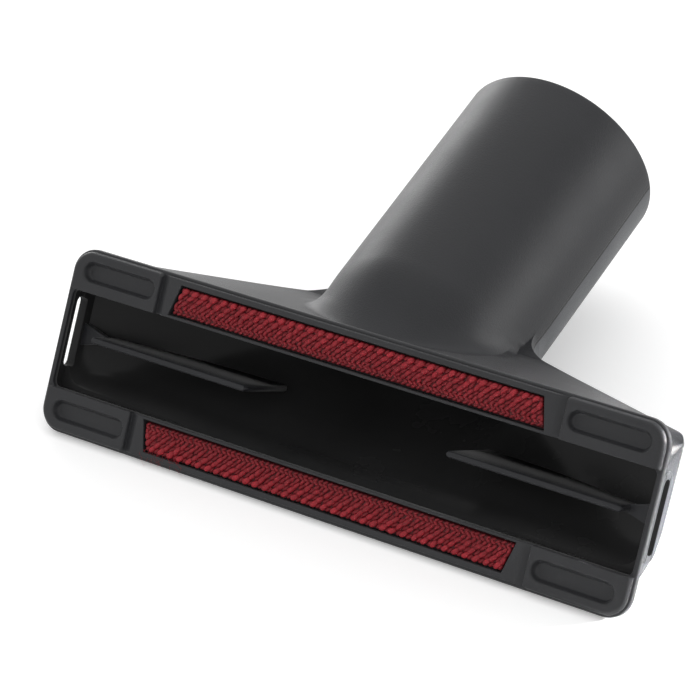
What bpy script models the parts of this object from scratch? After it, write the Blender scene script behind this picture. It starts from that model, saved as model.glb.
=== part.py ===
"""Upholstery nozzle for a vacuum cleaner: one moulded body and two lint strips.

The nozzle lies on its back, as it rests on a table: the mouth looks up and to the front,
and the lower edge of its rim and the belly of the neck touch the table.

Two sets of axes describe it before it is laid down:
  mouth axes  x along the mouth, v across it (up, the side the neck leans to), n out of it
  neck axes   x as above, t along the neck's axis away from the mouth, s below that axis
"""
import math

import bmesh
import bpy
import numpy as np

MM = 0.001

# Mouth plate
MOUTH_LENGTH = 125 * MM
MOUTH_WIDTH = 35 * MM
MOUTH_CORNER = 4.5 * MM
PAD_HEIGHT = 1.0 * MM
PLATE_THICKNESS = 1.2 * MM
PLATE_LIP = 0.5 * MM
EDGE_BREAK = 0.35 * MM
SLOT_WIDTH = 18.8 * MM
SLOT_CORNER = 1.2 * MM
SLOT_WALL = 1.4 * MM
SLOT_STRAIGHT = 2.0 * MM

# Pads with their dimples, at the four corners of the mouth
PAD_LENGTH = 19.6 * MM
PAD_EDGE = 0.4 * MM
GROOVE_WIDTH = 1.3 * MM
PAD_ROUND = 0.8 * MM
DIMPLE_LENGTH = 15.2 * MM
DIMPLE_WIDTH = 3.7 * MM
DIMPLE_DEPTH = 0.8 * MM
DIMPLE_SHIFT = 0.3 * MM

# Lint strips, each in a framed pocket between two pads
FRAME_END_WALL = 1.6 * MM
STRIP_END_SLANT = 1.5 * MM
STRIP_WIDTH = 5.3 * MM
STRIP_THICKNESS = 1.3 * MM
STRIP_ROUND = 0.5 * MM
RIB_PITCH = 2.1 * MM
RIB_HEIGHT = 0.35 * MM
RIB_SLANT = 0.9
FRAME_HEIGHT = 0.7 * MM
FRAME_WALL = 0.5 * MM
POCKET_DEPTH = 1.7 * MM
STRIP_GAP = 0.3 * MM

# Neck
NECK_ANGLE = math.radians(45)
NECK_RADIUS = 20.0 * MM
NECK_DRAFT = 0.005
NECK_REACH = 88 * MM
NECK_DROP = 9.0 * MM
NECK_RIM_ROUND = 0.8 * MM
SOCKET_RADIUS = 17.6 * MM
DUCT_RUN = 7.2 * MM
DUCT_RADIUS = 15.8 * MM

# Fishtail between mouth and neck
SHOULDER_ANGLE = math.radians(19.3)
SHOULDER_REACH = 38.1 * MM
SHOULDER_ROUND = 3.4 * MM
NECK_FILLET = 8 * MM
CORNER_LENGTH = 8.5 * MM
CREASE_AT_END = 10.9 * MM
CREASE_AT_NECK = 3.0 * MM
BACK_EDGE = 1.0 * MM
BACK_ROUND = 3.0 * MM
SIDE_LOW = 1.7 * MM
LOWER_ROUND = 6.5 * MM
BELLY_REACH = 44 * MM
BELLY_BLEND = 1.5 * MM
NECK_BLEND = 5 * MM
WALL = 2.4 * MM
CAVITY_STEP = 0.4 * MM

# Ribs inside the mouth, and the vent slots of the end walls
RIB_THICKNESS = 1.2 * MM
RIB_LENGTH = 34.5 * MM
RIB_END_GAP = 4.7 * MM
RIB_HEIGHT_IN_MOUTH = 0.8 * MM
RIB_SETBACK = 2.4 * MM
RIB_STEPS = 8
GUSSET_HEIGHT = 4.6 * MM
GUSSET_DEPTH = 1.5 * MM
VENT_LENGTH = 13.5 * MM
VENT_WIDTH = 2.2 * MM
VENT_HEIGHT_IN_MOUTH = 1.1 * MM
VENT_SETBACK = 4.3 * MM
VENT_FRAME = 1.4 * MM
VENT_FRAME_HEIGHT = 0.35 * MM

# Smoothness of the model, in segments
NECK_STEPS = 11
FLANK_STEPS = 6
FLANK_ANGLE = math.radians(80)
EDGE_ANGLE = math.radians(85)
ARC_STEPS = 5
SHOULDER_STEPS = 8
STRIP_STEPS_PER_RIB = 4
STRIP_STEPS_ACROSS = 5

OVERLAP = 0.6 * MM

HALF_LENGTH = MOUTH_LENGTH / 2
HALF_WIDTH = MOUTH_WIDTH / 2
HALF_SLOT = SLOT_WIDTH / 2
PLATE_FRONT = -PAD_HEIGHT
PLATE_BACK = PLATE_FRONT - PLATE_THICKNESS
FRAME_FRONT = PLATE_FRONT + FRAME_HEIGHT
BODY_HALF_LENGTH = HALF_LENGTH - PLATE_LIP
BODY_HALF_WIDTH = HALF_WIDTH - PLATE_LIP
SLOT_HALF_LENGTH = HALF_LENGTH - SLOT_WALL
CAVITY_HALF_LENGTH = SLOT_HALF_LENGTH - CAVITY_STEP
SLOT_BACK = PLATE_BACK - SLOT_STRAIGHT
CAVITY_FRONT = SLOT_BACK + OVERLAP
SIN_NECK = math.sin(NECK_ANGLE)
COS_NECK = math.cos(NECK_ANGLE)


def clear_scene():
    for item in list(bpy.data.objects):
        bpy.data.objects.remove(item, do_unlink=True)


def to_mouth_axes(x, t, s):
    """Turns neck axes into mouth axes: the neck leans back by NECK_ANGLE about x."""
    x, t, s = np.broadcast_arrays(x, t, s)
    v = t * SIN_NECK - s * COS_NECK - NECK_DROP
    n = -t * COS_NECK - s * SIN_NECK
    return np.stack([x, v, n], axis=-1)


def to_neck_axes(v, n):
    """Turns a place across and out of the mouth into a reach and a depth at the neck's axis."""
    t = (v + NECK_DROP) * SIN_NECK - n * COS_NECK
    s = -(v + NECK_DROP) * COS_NECK - n * SIN_NECK
    return t, s


def ease(value, start, end):
    """Rises smoothly from 0 at start to 1 at end."""
    share = np.clip((value - start) / (end - start), 0.0, 1.0)
    return share * share * (3.0 - 2.0 * share)


def blend_max(a, b, radius):
    """The larger of two heights, with a fillet of about the given radius where they cross."""
    radius = np.maximum(radius, 1e-9)
    near = np.maximum(radius - np.abs(a - b), 0.0) / radius
    return np.maximum(a, b) + near * near * radius / 4.0


def neck_radius_at(t):
    return NECK_RADIUS - NECK_DRAFT * (NECK_REACH - t)


def mesh_object(name, points, faces, material=None):
    mesh = bpy.data.meshes.new(name)
    mesh.from_pydata([tuple(p) for p in points], [], [tuple(f) for f in faces])
    mesh.validate()
    item = bpy.data.objects.new(name, mesh)
    bpy.context.collection.objects.link(item)
    if material is not None:
        mesh.materials.append(material)
    return item


def loft(name, rings):
    """A closed solid through rings with the same number of points, with flat caps."""
    count = len(rings[0])
    points = np.concatenate(rings)
    faces = []
    for ring in range(len(rings) - 1):
        for k in range(count):
            a = ring * count + k
            b = ring * count + (k + 1) % count
            faces.append((a, b, b + count, a + count))
    faces.append(tuple(reversed(range(count))))
    last = (len(rings) - 1) * count
    faces.append(tuple(last + k for k in range(count)))
    return mesh_object(name, points, faces)


def face_outwards(item):
    build = bmesh.new()
    build.from_mesh(item.data)
    bmesh.ops.recalc_face_normals(build, faces=build.faces)
    build.to_mesh(item.data)
    build.free()
    return item


def join_meshes(name, items):
    """Puts separate closed solids into one object, as the tool of one Boolean."""
    build = bmesh.new()
    for item in items:
        build.from_mesh(item.data)
    mesh = bpy.data.meshes.new(name)
    build.to_mesh(mesh)
    build.free()
    for item in items:
        bpy.data.objects.remove(item, do_unlink=True)
    joined = bpy.data.objects.new(name, mesh)
    bpy.context.collection.objects.link(joined)
    return joined


def rounded_outline(corners, radii, inset=0.0):
    """Corner points of a convex outline, taken in by an inset, with an arc at each corner."""
    corners = [np.array(c, float) for c in corners]
    count = len(corners)
    moved = []
    for k in range(count):
        before = corners[k] - corners[k - 1]
        after = corners[(k + 1) % count] - corners[k]
        before = before / np.linalg.norm(before)
        after = after / np.linalg.norm(after)
        inward = np.array([-before[1], before[0]])
        inward_next = np.array([-after[1], after[0]])
        middle = (inward + inward_next) / (1.0 + inward @ inward_next)
        moved.append(corners[k] + middle * inset)
    points = []
    for k in range(count):
        before = moved[k - 1] - moved[k]
        after = moved[(k + 1) % count] - moved[k]
        before = before / np.linalg.norm(before)
        after = after / np.linalg.norm(after)
        half_turn = math.acos(float(np.clip(before @ after, -1.0, 1.0))) / 2
        radius = max(radii[k] - inset, EDGE_BREAK / 6)
        bisector = before + after
        bisector = bisector / np.linalg.norm(bisector)
        centre = moved[k] + bisector * radius / math.sin(half_turn)
        start = moved[k] + before * radius / math.tan(half_turn) - centre
        start_angle = math.atan2(start[1], start[0])
        sweep = math.pi - 2 * half_turn
        for step in range(ARC_STEPS + 1):
            angle = start_angle + sweep * step / ARC_STEPS
            points.append((centre[0] + radius * math.cos(angle), centre[1] + radius * math.sin(angle)))
    return np.array(points)


def solid(name, corners, radii, levels, along_x=False):
    """A flat-faced solid with a rounded outline, through levels of depth and inset."""
    rings = []
    for depth, inset in levels:
        outline = rounded_outline(corners, radii, inset)
        depths = np.full(len(outline), depth)
        if along_x:
            rings.append(np.column_stack([depths, outline]))
        else:
            rings.append(np.column_stack([outline, depths]))
    return face_outwards(loft(name, rings))


def rectangle(x_low, x_high, v_low, v_high):
    return [(x_low, v_low), (x_high, v_low), (x_high, v_high), (x_low, v_high)]


def mirrored(corners, x_side, v_side):
    """The same outline on another side of the mouth, still running anticlockwise."""
    flipped = [(x * x_side, v * v_side) for x, v in corners]
    return flipped if x_side * v_side > 0 else flipped[::-1]


def shoulder_outline(half_length, reach, neck_radius, outer_round, inner_round):
    """Half the plan of the fishtail, from the mouth to the neck, as reach t and half width x.

    It runs along the end wall, round the outer corner, up the shoulder and into the neck.
    """
    slope = math.tan(SHOULDER_ANGLE)
    turn = math.pi / 2 - SHOULDER_ANGLE
    angles = np.linspace(0.0, turn, ARC_STEPS + 2)
    corner_end = half_length - outer_round + outer_round * math.cos(turn)
    corner_t = reach - (corner_end - neck_radius) * slope - outer_round * math.sin(turn)
    corner_x = half_length - outer_round + outer_round * np.cos(angles)
    fillet_start = neck_radius + inner_round - inner_round * math.cos(turn)
    fillet_t = reach - (fillet_start - neck_radius) * slope + inner_round * math.sin(turn)
    fillet_x = neck_radius + inner_round - inner_round * np.cos(angles[::-1])
    line_share = np.linspace(0.0, 1.0, SHOULDER_STEPS + 1)[1:-1]
    line_x = corner_end + (fillet_start - corner_end) * line_share
    line_t = reach - (line_x - neck_radius) * slope
    x = np.concatenate([corner_x, line_x, fillet_x])
    t = np.concatenate([corner_t + outer_round * np.sin(angles), line_t,
                        fillet_t - inner_round * np.sin(angles[::-1])])
    return t, x


OUTER_T, OUTER_X = shoulder_outline(BODY_HALF_LENGTH, SHOULDER_REACH, NECK_RADIUS,
                                    SHOULDER_ROUND, NECK_FILLET)
INNER_REACH = (SHOULDER_REACH - 1.7 * WALL / math.cos(SHOULDER_ANGLE)
               + (NECK_RADIUS - DUCT_RADIUS) * math.tan(SHOULDER_ANGLE))
INNER_T, INNER_X = shoulder_outline(CAVITY_HALF_LENGTH, INNER_REACH, DUCT_RADIUS,
                                    SHOULDER_ROUND - WALL, NECK_FILLET + WALL)
FILLET_START = float(OUTER_T[-(ARC_STEPS + 2)])
FILLET_START_X = float(OUTER_X[-(ARC_STEPS + 2)])
FILLET_END = float(OUTER_T[-1])
LIP_T, LIP_S = to_neck_axes(BODY_HALF_WIDTH, PLATE_BACK)
LIP_HEIGHT = -LIP_S
LOW_LIP_T, LOW_LIP_S = to_neck_axes(-BODY_HALF_WIDTH, PLATE_BACK)
CAVITY_HEIGHT = -to_neck_axes(HALF_SLOT - CAVITY_STEP / 2, CAVITY_FRONT)[1]
CAVITY_LOW_T, CAVITY_LOW = to_neck_axes(-HALF_SLOT + CAVITY_STEP / 2, CAVITY_FRONT)
SOCKET_START = FILLET_END + DUCT_RUN


def crease_height(x):
    """Height above the neck's axis of the crease that ends the upper shoulder."""
    share = np.clip((x - FILLET_START_X) / (BODY_HALF_LENGTH - FILLET_START_X), 0.0, 1.0)
    return CREASE_AT_NECK + (CREASE_AT_END - CREASE_AT_NECK) * share


def crease_reach(x):
    """Reach of the same crease along the neck's axis."""
    return np.interp(np.maximum(x, FILLET_START_X), OUTER_X[::-1], OUTER_T[::-1])


def back_depth(x):
    """Depth behind the mouth of the fishtail's back, which runs straight across the mouth."""
    x = np.abs(x)
    return crease_reach(x) * COS_NECK - (crease_height(x) - BACK_EDGE) * SIN_NECK


def shoulder_height(x, t):
    """Height of the upper shoulder above the neck's axis: straight from the lip to the crease."""
    x = np.abs(x)
    corner = np.clip((x - (BODY_HALF_LENGTH - CORNER_LENGTH)) / CORNER_LENGTH, 0.0, 1.0)
    lip_height = CREASE_AT_END + (LIP_HEIGHT - CREASE_AT_END) * np.sqrt(1.0 - corner ** 2)
    lip_t = (lip_height * SIN_NECK - PLATE_BACK) / COS_NECK
    share = np.clip((t - lip_t) / np.maximum(crease_reach(x) - lip_t, EDGE_BREAK), 0.0, 1.0)
    return lip_height + (crease_height(x) - lip_height) * share


def oval(x, half_width, height):
    return height * np.sqrt(np.clip(1.0 - (x / half_width) ** 2, 0.0, 1.0))


def belly_depth(t):
    """Depth of the underside below the neck's axis, on the middle line: a slope, then the neck."""
    slope = (NECK_RADIUS - LOW_LIP_S) / (BELLY_REACH - LOW_LIP_T)
    rising = LOW_LIP_S + slope * (t - LOW_LIP_T)
    return -blend_max(-rising, -neck_radius_at(t), BELLY_BLEND)


def upper_side(x, t, radius, rise_start, shoulder):
    """Height of an upper side above the neck's axis: a shoulder with the neck rising on it."""
    rise = rise_start + (radius - rise_start) * ease(t, LIP_T, FILLET_START)
    into_neck = ease(t, FILLET_START, FILLET_END)
    flank = shoulder * (1.0 - into_neck) + radius * math.cos(EDGE_ANGLE) * into_neck
    fillet = NECK_BLEND * ease(t, LIP_T, LIP_T + NECK_FILLET) * (1.0 - into_neck)
    return blend_max(oval(x, radius, rise), flank, fillet)


def lower_side(x, t, half_width, radius, base, side_low, corner_round, belly, back):
    """Depth of an underside below the neck's axis: a flat base, rounded sides, back and belly."""
    corner = np.clip((np.abs(x) - (half_width - corner_round)) / corner_round, 0.0, 1.0)
    flat = side_low + (base - side_low) * np.sqrt(1.0 - corner ** 2)
    limit = (back - min(t, FILLET_START) * COS_NECK) / SIN_NECK
    flat = -blend_max(-flat, -limit, BACK_ROUND)
    narrow = np.maximum(oval(x, radius, belly), belly * math.cos(EDGE_ANGLE))
    narrowing = ease(t, FILLET_START - NECK_FILLET, FILLET_END)
    wide = oval(x, radius + 0.5 * max(FILLET_END - t, 0.0), belly)
    fillet = NECK_BLEND * (1.0 - ease(t, FILLET_START, FILLET_END))
    fillet = fillet * ease(t, LOW_LIP_T, LOW_LIP_T + NECK_FILLET)
    return blend_max(flat * (1.0 - narrowing) + narrow * narrowing, wide, fillet)


def spread(radius, edge_width):
    """Places across half a section: even angles round the neck, then out to the end wall."""
    neck = radius * np.sin(np.linspace(0.0, FLANK_ANGLE, NECK_STEPS + 1))
    share = 1.0 - np.linspace(1.0, 0.0, FLANK_STEPS + 1)[1:] ** 2
    return np.concatenate([neck, neck[-1] + (edge_width - neck[-1]) * share])


def section(t, half_width, radius, upper, lower):
    """One closed section at reach t: over the top, down one side, back below and up."""
    roundness = ease(t, FILLET_START, FILLET_END)
    edge_width = half_width * (1.0 - (1.0 - math.sin(EDGE_ANGLE)) * roundness)
    half = spread(radius, edge_width)
    across = np.concatenate([-half[::-1], half[1:]])
    top = -upper(across, t)
    bottom = lower(across, t)
    middle = 0.5 * (top[-1] + bottom[-1])
    return np.concatenate([to_mouth_axes(across, t, top),
                           to_mouth_axes(half_width, t, middle)[None],
                           to_mouth_axes(across, t, bottom)[::-1],
                           to_mouth_axes(-half_width, t, middle)[None]])


def outer_section(t):
    radius = neck_radius_at(t)
    half_width = float(np.interp(t, OUTER_T, OUTER_X))
    half_width -= (NECK_RADIUS - radius) * float(ease(t, FILLET_START, FILLET_END))

    def upper(x, t):
        return upper_side(x, t, radius, LIP_HEIGHT, shoulder_height(x, t))

    def lower(x, t):
        return lower_side(x, t, half_width, radius, LOW_LIP_S, SIDE_LOW, LOWER_ROUND,
                          belly_depth(t), back_depth(x))

    return section(t, half_width, radius, upper, lower)


def inner_section(t):
    half_width = float(np.interp(t, INNER_T, INNER_X))
    deepen = ease(t, CAVITY_LOW_T, CAVITY_LOW_T + NECK_FILLET)
    base = CAVITY_LOW + (LOW_LIP_S - WALL - CAVITY_LOW) * deepen
    belly = belly_depth(t) - (neck_radius_at(t) - DUCT_RADIUS)
    belly = CAVITY_LOW + (belly - CAVITY_LOW) * deepen

    def upper(x, t):
        shoulder = np.minimum(shoulder_height(x, t) - WALL, CAVITY_HEIGHT)
        return upper_side(x, t, DUCT_RADIUS, CAVITY_HEIGHT, shoulder)

    def lower(x, t):
        return lower_side(x, t, half_width, DUCT_RADIUS, base, 0.0, LOWER_ROUND - WALL, belly,
                          back_depth(x) - WALL)

    return section(t, half_width, DUCT_RADIUS, upper, lower)


def round_section(t, radius):
    """A round section of the neck, with its points where the other sections have theirs."""
    def circle(x, t):
        return oval(x, radius, radius)

    return section(t, radius, radius, circle, circle)


def outer_body():
    """The outside of the fishtail and neck, running on in front of the mouth plate."""
    corner_lip = (CREASE_AT_END * SIN_NECK - PLATE_BACK) / COS_NECK
    reaches = [LOW_LIP_T - NECK_FILLET]
    reaches += list(np.linspace(LOW_LIP_T, corner_lip, 4))
    reaches += list(np.linspace(corner_lip, OUTER_T[0], 4)[1:])
    reaches += list(OUTER_T[1:])
    reaches += list(np.linspace(FILLET_END, SOCKET_START, 4)[1:])
    rings = [outer_section(t) for t in reaches]
    rings.append(round_section(0.5 * (SOCKET_START + NECK_REACH),
                               neck_radius_at(0.5 * (SOCKET_START + NECK_REACH))))
    for step in range(4):
        angle = math.pi / 2 * step / 3
        reach = NECK_REACH - NECK_RIM_ROUND * (1.0 - math.sin(angle))
        radius = NECK_RADIUS - NECK_RIM_ROUND * (1.0 - math.cos(angle))
        rings.append(round_section(reach, radius))
    return face_outwards(loft("nozzle_body", rings))


def inner_space():
    """The air duct: wide behind the mouth, round in the neck, then a socket for the tube."""
    reaches = [CAVITY_LOW_T - NECK_FILLET]
    reaches += list(np.linspace(CAVITY_LOW_T, INNER_T[0], 6))
    reaches += list(INNER_T[1:])
    rings = [inner_section(t) for t in reaches]
    rings.append(round_section(SOCKET_START, DUCT_RADIUS))
    rings.append(round_section(SOCKET_START, SOCKET_RADIUS))
    rings.append(round_section(NECK_REACH - NECK_RIM_ROUND, SOCKET_RADIUS))
    rings.append(round_section(NECK_REACH + NECK_RIM_ROUND, SOCKET_RADIUS + 2 * NECK_RIM_ROUND))
    return face_outwards(loft("inner_space", rings))


def front_block(name, depth):
    """A block that takes away everything in front of a plane parallel to the mouth."""
    reach = MOUTH_LENGTH
    return solid(name, rectangle(-reach, reach, -reach, reach), [EDGE_BREAK] * 4,
                 [(depth, 0.0), (depth + reach, 0.0)])


def mouth_plate():
    corners = rectangle(-HALF_LENGTH, HALF_LENGTH, -HALF_WIDTH, HALF_WIDTH)
    return solid("mouth_plate", corners, [MOUTH_CORNER] * 4,
                 [(PLATE_BACK, 0.0), (PLATE_FRONT - EDGE_BREAK, 0.0), (PLATE_FRONT, EDGE_BREAK)])


STRIP_LOW = HALF_SLOT + FRAME_WALL + STRIP_GAP
STRIP_HIGH = STRIP_LOW + STRIP_WIDTH
FRAME_HALF_LENGTH = HALF_LENGTH - PAD_EDGE - PAD_LENGTH - GROOVE_WIDTH
STRIP_HALF_SLOT = FRAME_HALF_LENGTH - FRAME_END_WALL - STRIP_GAP
STRIP_HALF_RIM = STRIP_HALF_SLOT - STRIP_END_SLANT
STRIP_MIDDLE = 0.5 * (STRIP_LOW + STRIP_HIGH)


def strip_corners():
    """The upper strip's outline: longest beside the slot, with slanting ends."""
    return [(-STRIP_HALF_SLOT, STRIP_LOW), (STRIP_HALF_SLOT, STRIP_LOW),
            (STRIP_HALF_RIM, STRIP_HIGH), (-STRIP_HALF_RIM, STRIP_HIGH)]


def pad_corner_radius(corner):
    """The plate's own rounding at a pad's outermost corner, and a small one at the others."""
    outermost = abs(corner[0]) > HALF_LENGTH - 2 * PAD_EDGE and abs(corner[1]) > HALF_SLOT
    return MOUTH_CORNER - PAD_EDGE if outermost else PAD_ROUND


def raised_parts():
    """Four pads and two strip frames on the front of the plate, and a frame round each vent."""
    parts = []
    pad = rectangle(HALF_LENGTH - PAD_EDGE - PAD_LENGTH, HALF_LENGTH - PAD_EDGE,
                    HALF_SLOT - OVERLAP, HALF_WIDTH - PAD_EDGE)
    frame = rectangle(-FRAME_HALF_LENGTH, FRAME_HALF_LENGTH,
                      HALF_SLOT - OVERLAP, HALF_WIDTH - 1.5 * PAD_EDGE)
    back = PLATE_FRONT - OVERLAP
    for v_side in (1, -1):
        for x_side in (1, -1):
            corners = mirrored(pad, x_side, v_side)
            radii = [pad_corner_radius(corner) for corner in corners]
            parts.append(solid("pad", corners, radii,
                               [(back, 0.0), (-EDGE_BREAK, 0.0), (0.0, EDGE_BREAK)]))
        parts.append(solid("strip_frame", mirrored(frame, 1, v_side), [PAD_ROUND] * 4,
                           [(back, 0.0), (FRAME_FRONT - EDGE_BREAK / 2, 0.0),
                            (FRAME_FRONT, EDGE_BREAK / 2)]))
    for x_side in (1, -1):
        parts.append(vent("vent_frame", x_side, VENT_FRAME, BODY_HALF_LENGTH - OVERLAP,
                          BODY_HALF_LENGTH + VENT_FRAME_HEIGHT))
    return join_meshes("raised_parts", parts)


def vent(name, x_side, margin, x_low, x_high):
    """A long round-ended bar through an end wall, as wide as the vent and a margin."""
    half_length = VENT_LENGTH / 2 + margin
    half_width = VENT_WIDTH / 2 + margin
    corners = rectangle(VENT_HEIGHT_IN_MOUTH - half_length, VENT_HEIGHT_IN_MOUTH + half_length,
                        -VENT_SETBACK - half_width, -VENT_SETBACK + half_width)
    levels = [(x_low * x_side, 0.0), (x_high * x_side, 0.0)]
    return solid(name, corners, [half_width * 0.98] * 4, levels, along_x=True)


def mouth_slot():
    corners = rectangle(-SLOT_HALF_LENGTH, SLOT_HALF_LENGTH, -HALF_SLOT, HALF_SLOT)
    return solid("mouth_slot", corners, [SLOT_CORNER] * 4, [(SLOT_BACK, 0.0), (PAD_HEIGHT, 0.0)])


RIB_OUTER_END = CAVITY_HALF_LENGTH - RIB_END_GAP


def inner_ribs():
    """Two thin ribs across the mouth, which reach back into the middle of the wall."""
    parts = []
    low = RIB_HEIGHT_IN_MOUTH - RIB_THICKNESS / 2
    high = RIB_HEIGHT_IN_MOUTH + RIB_THICKNESS / 2
    base = (LOW_LIP_S - WALL / 2 + (low + NECK_DROP) * COS_NECK) / SIN_NECK
    for x_side in (1, -1):
        rings = []
        for share in np.linspace(0.0, 1.0, RIB_STEPS + 1):
            x = RIB_OUTER_END - RIB_LENGTH * share
            back = -min(float(back_depth(x)) - WALL / 2, base)
            rings.append(np.array([(x * x_side, low, back), (x * x_side, high, back),
                                   (x * x_side, high, -RIB_SETBACK),
                                   (x * x_side, low, -RIB_SETBACK)]))
        parts.append(face_outwards(loft("rib", rings)))
    return join_meshes("inner_ribs", parts)


def gussets():
    """A wedge behind each vent that ties the rib to the end wall."""
    parts = []
    front = -(VENT_SETBACK + VENT_WIDTH / 2 + WALL / 3)
    wall = CAVITY_HALF_LENGTH + 0.5 * SLOT_WALL
    for x_side in (1, -1):
        corners = [(RIB_OUTER_END - RIB_THICKNESS, RIB_HEIGHT_IN_MOUTH - RIB_THICKNESS * 0.4),
                   (wall, RIB_HEIGHT_IN_MOUTH - GUSSET_HEIGHT / 2),
                   (wall, RIB_HEIGHT_IN_MOUTH + GUSSET_HEIGHT / 2),
                   (RIB_OUTER_END - RIB_THICKNESS, RIB_HEIGHT_IN_MOUTH + RIB_THICKNESS * 0.4)]
        parts.append(solid("gusset", mirrored(corners, x_side, 1), [EDGE_BREAK / 3] * 4,
                           [(front - GUSSET_DEPTH, 0.0), (front, 0.0)]))
    return join_meshes("gussets", parts)


def hollows():
    """The two strip pockets, the dimples of the four pads and the two vents, as one tool."""
    parts = []
    dimple_middle = HALF_LENGTH - PAD_EDGE - PAD_LENGTH / 2
    dimple = rectangle(dimple_middle - DIMPLE_LENGTH / 2, dimple_middle + DIMPLE_LENGTH / 2,
                       STRIP_MIDDLE + DIMPLE_SHIFT - DIMPLE_WIDTH / 2,
                       STRIP_MIDDLE + DIMPLE_SHIFT + DIMPLE_WIDTH / 2)
    for v_side in (1, -1):
        parts.append(solid("pocket", mirrored(strip_corners(), 1, v_side), [STRIP_ROUND] * 4,
                           [(FRAME_FRONT - POCKET_DEPTH, -STRIP_GAP), (PAD_HEIGHT, -STRIP_GAP)]))
        for x_side in (1, -1):
            parts.append(solid("dimple", mirrored(dimple, x_side, v_side),
                               [DIMPLE_WIDTH * 0.49] * 4,
                               [(-DIMPLE_DEPTH, EDGE_BREAK), (0.0, 0.0),
                                (PAD_HEIGHT, -EDGE_BREAK)]))
    for x_side in (1, -1):
        parts.append(vent("vent", x_side, 0.0, CAVITY_HALF_LENGTH - 2 * WALL,
                          HALF_LENGTH + PAD_HEIGHT))
    return join_meshes("hollows", parts)


def lint_strip(name, v_side, material):
    """A woven strip in its pocket, its pile standing in slanting ribs.

    The columns of the grid follow the ribs: they lean along the strip and stand upright again
    at its ends.
    """
    ribs = int(round(2 * STRIP_HALF_SLOT / RIB_PITCH))
    steps = ribs * STRIP_STEPS_PER_RIB
    rows = 0.5 - 0.5 * np.cos(np.linspace(0.0, math.pi, STRIP_STEPS_ACROSS + 1))
    along, across = np.meshgrid(np.linspace(-1.0, 1.0, steps + 1), rows, indexing="ij")
    half = STRIP_HALF_SLOT + (STRIP_HALF_RIM - STRIP_HALF_SLOT) * across
    height = STRIP_LOW + STRIP_WIDTH * across
    lean = v_side * RIB_SLANT * (height - STRIP_MIDDLE) * (1.0 - along ** 6)
    edge = np.minimum((1.0 - np.abs(along)) * half, np.minimum(across, 1.0 - across) * STRIP_WIDTH)
    edge = np.clip(edge / STRIP_ROUND, 0.0, 1.0)
    edge = np.sqrt(1.0 - (1.0 - edge) ** 2)
    rib = RIB_HEIGHT * (0.5 + 0.5 * np.cos(math.pi * along * ribs))
    bottom = FRAME_FRONT - POCKET_DEPTH + STRIP_GAP
    top = bottom + STRIP_THICKNESS - STRIP_ROUND + (STRIP_ROUND - RIB_HEIGHT + rib) * edge
    columns = STRIP_STEPS_ACROSS + 1
    points = np.stack([along * half + lean, height * v_side, top], axis=-1).reshape(-1, 3)
    faces = []
    for i in range(steps):
        for j in range(STRIP_STEPS_ACROSS):
            corner = i * columns + j
            faces.append((corner, corner + columns, corner + columns + 1, corner + 1))
    rim = list(range(columns))
    rim += [i * columns + columns - 1 for i in range(1, steps + 1)]
    rim += [steps * columns + j for j in range(columns - 2, -1, -1)]
    rim += [i * columns for i in range(steps - 1, 0, -1)]
    base = len(points)
    under = points[rim].copy()
    under[:, 2] = bottom
    for k in range(len(rim)):
        after = (k + 1) % len(rim)
        faces.append((rim[k], rim[after], base + after, base + k))
    faces.append(tuple(base + k for k in range(len(rim))))
    return face_outwards(mesh_object(name, np.concatenate([points, under]), faces, material))


def use_tool(body, tool, operation):
    """Joins or cuts the body with a tool that stays in the file as a hidden wire shape."""
    tool.hide_render = True
    tool.display_type = "WIRE"
    step = body.modifiers.new(operation.title() + " " + tool.name, "BOOLEAN")
    step.operation = operation
    step.solver = "EXACT"
    step.object = tool
    return step


def moulding_material(name, colour, roughness):
    material = bpy.data.materials.new(name)
    material.use_nodes = True
    shader = material.node_tree.nodes["Principled BSDF"]
    shader.inputs["Base Color"].default_value = (*colour, 1.0)
    shader.inputs["Roughness"].default_value = roughness
    return material


def resting_tilt():
    """Angle about x that lays the plate's lower edge and the belly on the table together."""
    reach = np.linspace(FILLET_START, NECK_REACH - NECK_RIM_ROUND, 400)
    belly = to_mouth_axes(0.0, reach, belly_depth(reach))
    rise = PLATE_BACK - belly[:, 2]
    run = belly[:, 1] + HALF_WIDTH
    return float(np.max(np.arctan2(rise, run)))


def evaluated_points(items):
    """World places of all corners of the finished pieces."""
    bpy.context.view_layer.update()
    graph = bpy.context.evaluated_depsgraph_get()
    points = []
    for item in items:
        shape = item.evaluated_get(graph)
        points += [item.matrix_world @ corner.co for corner in shape.data.vertices]
    return np.array([tuple(p) for p in points])


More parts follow.
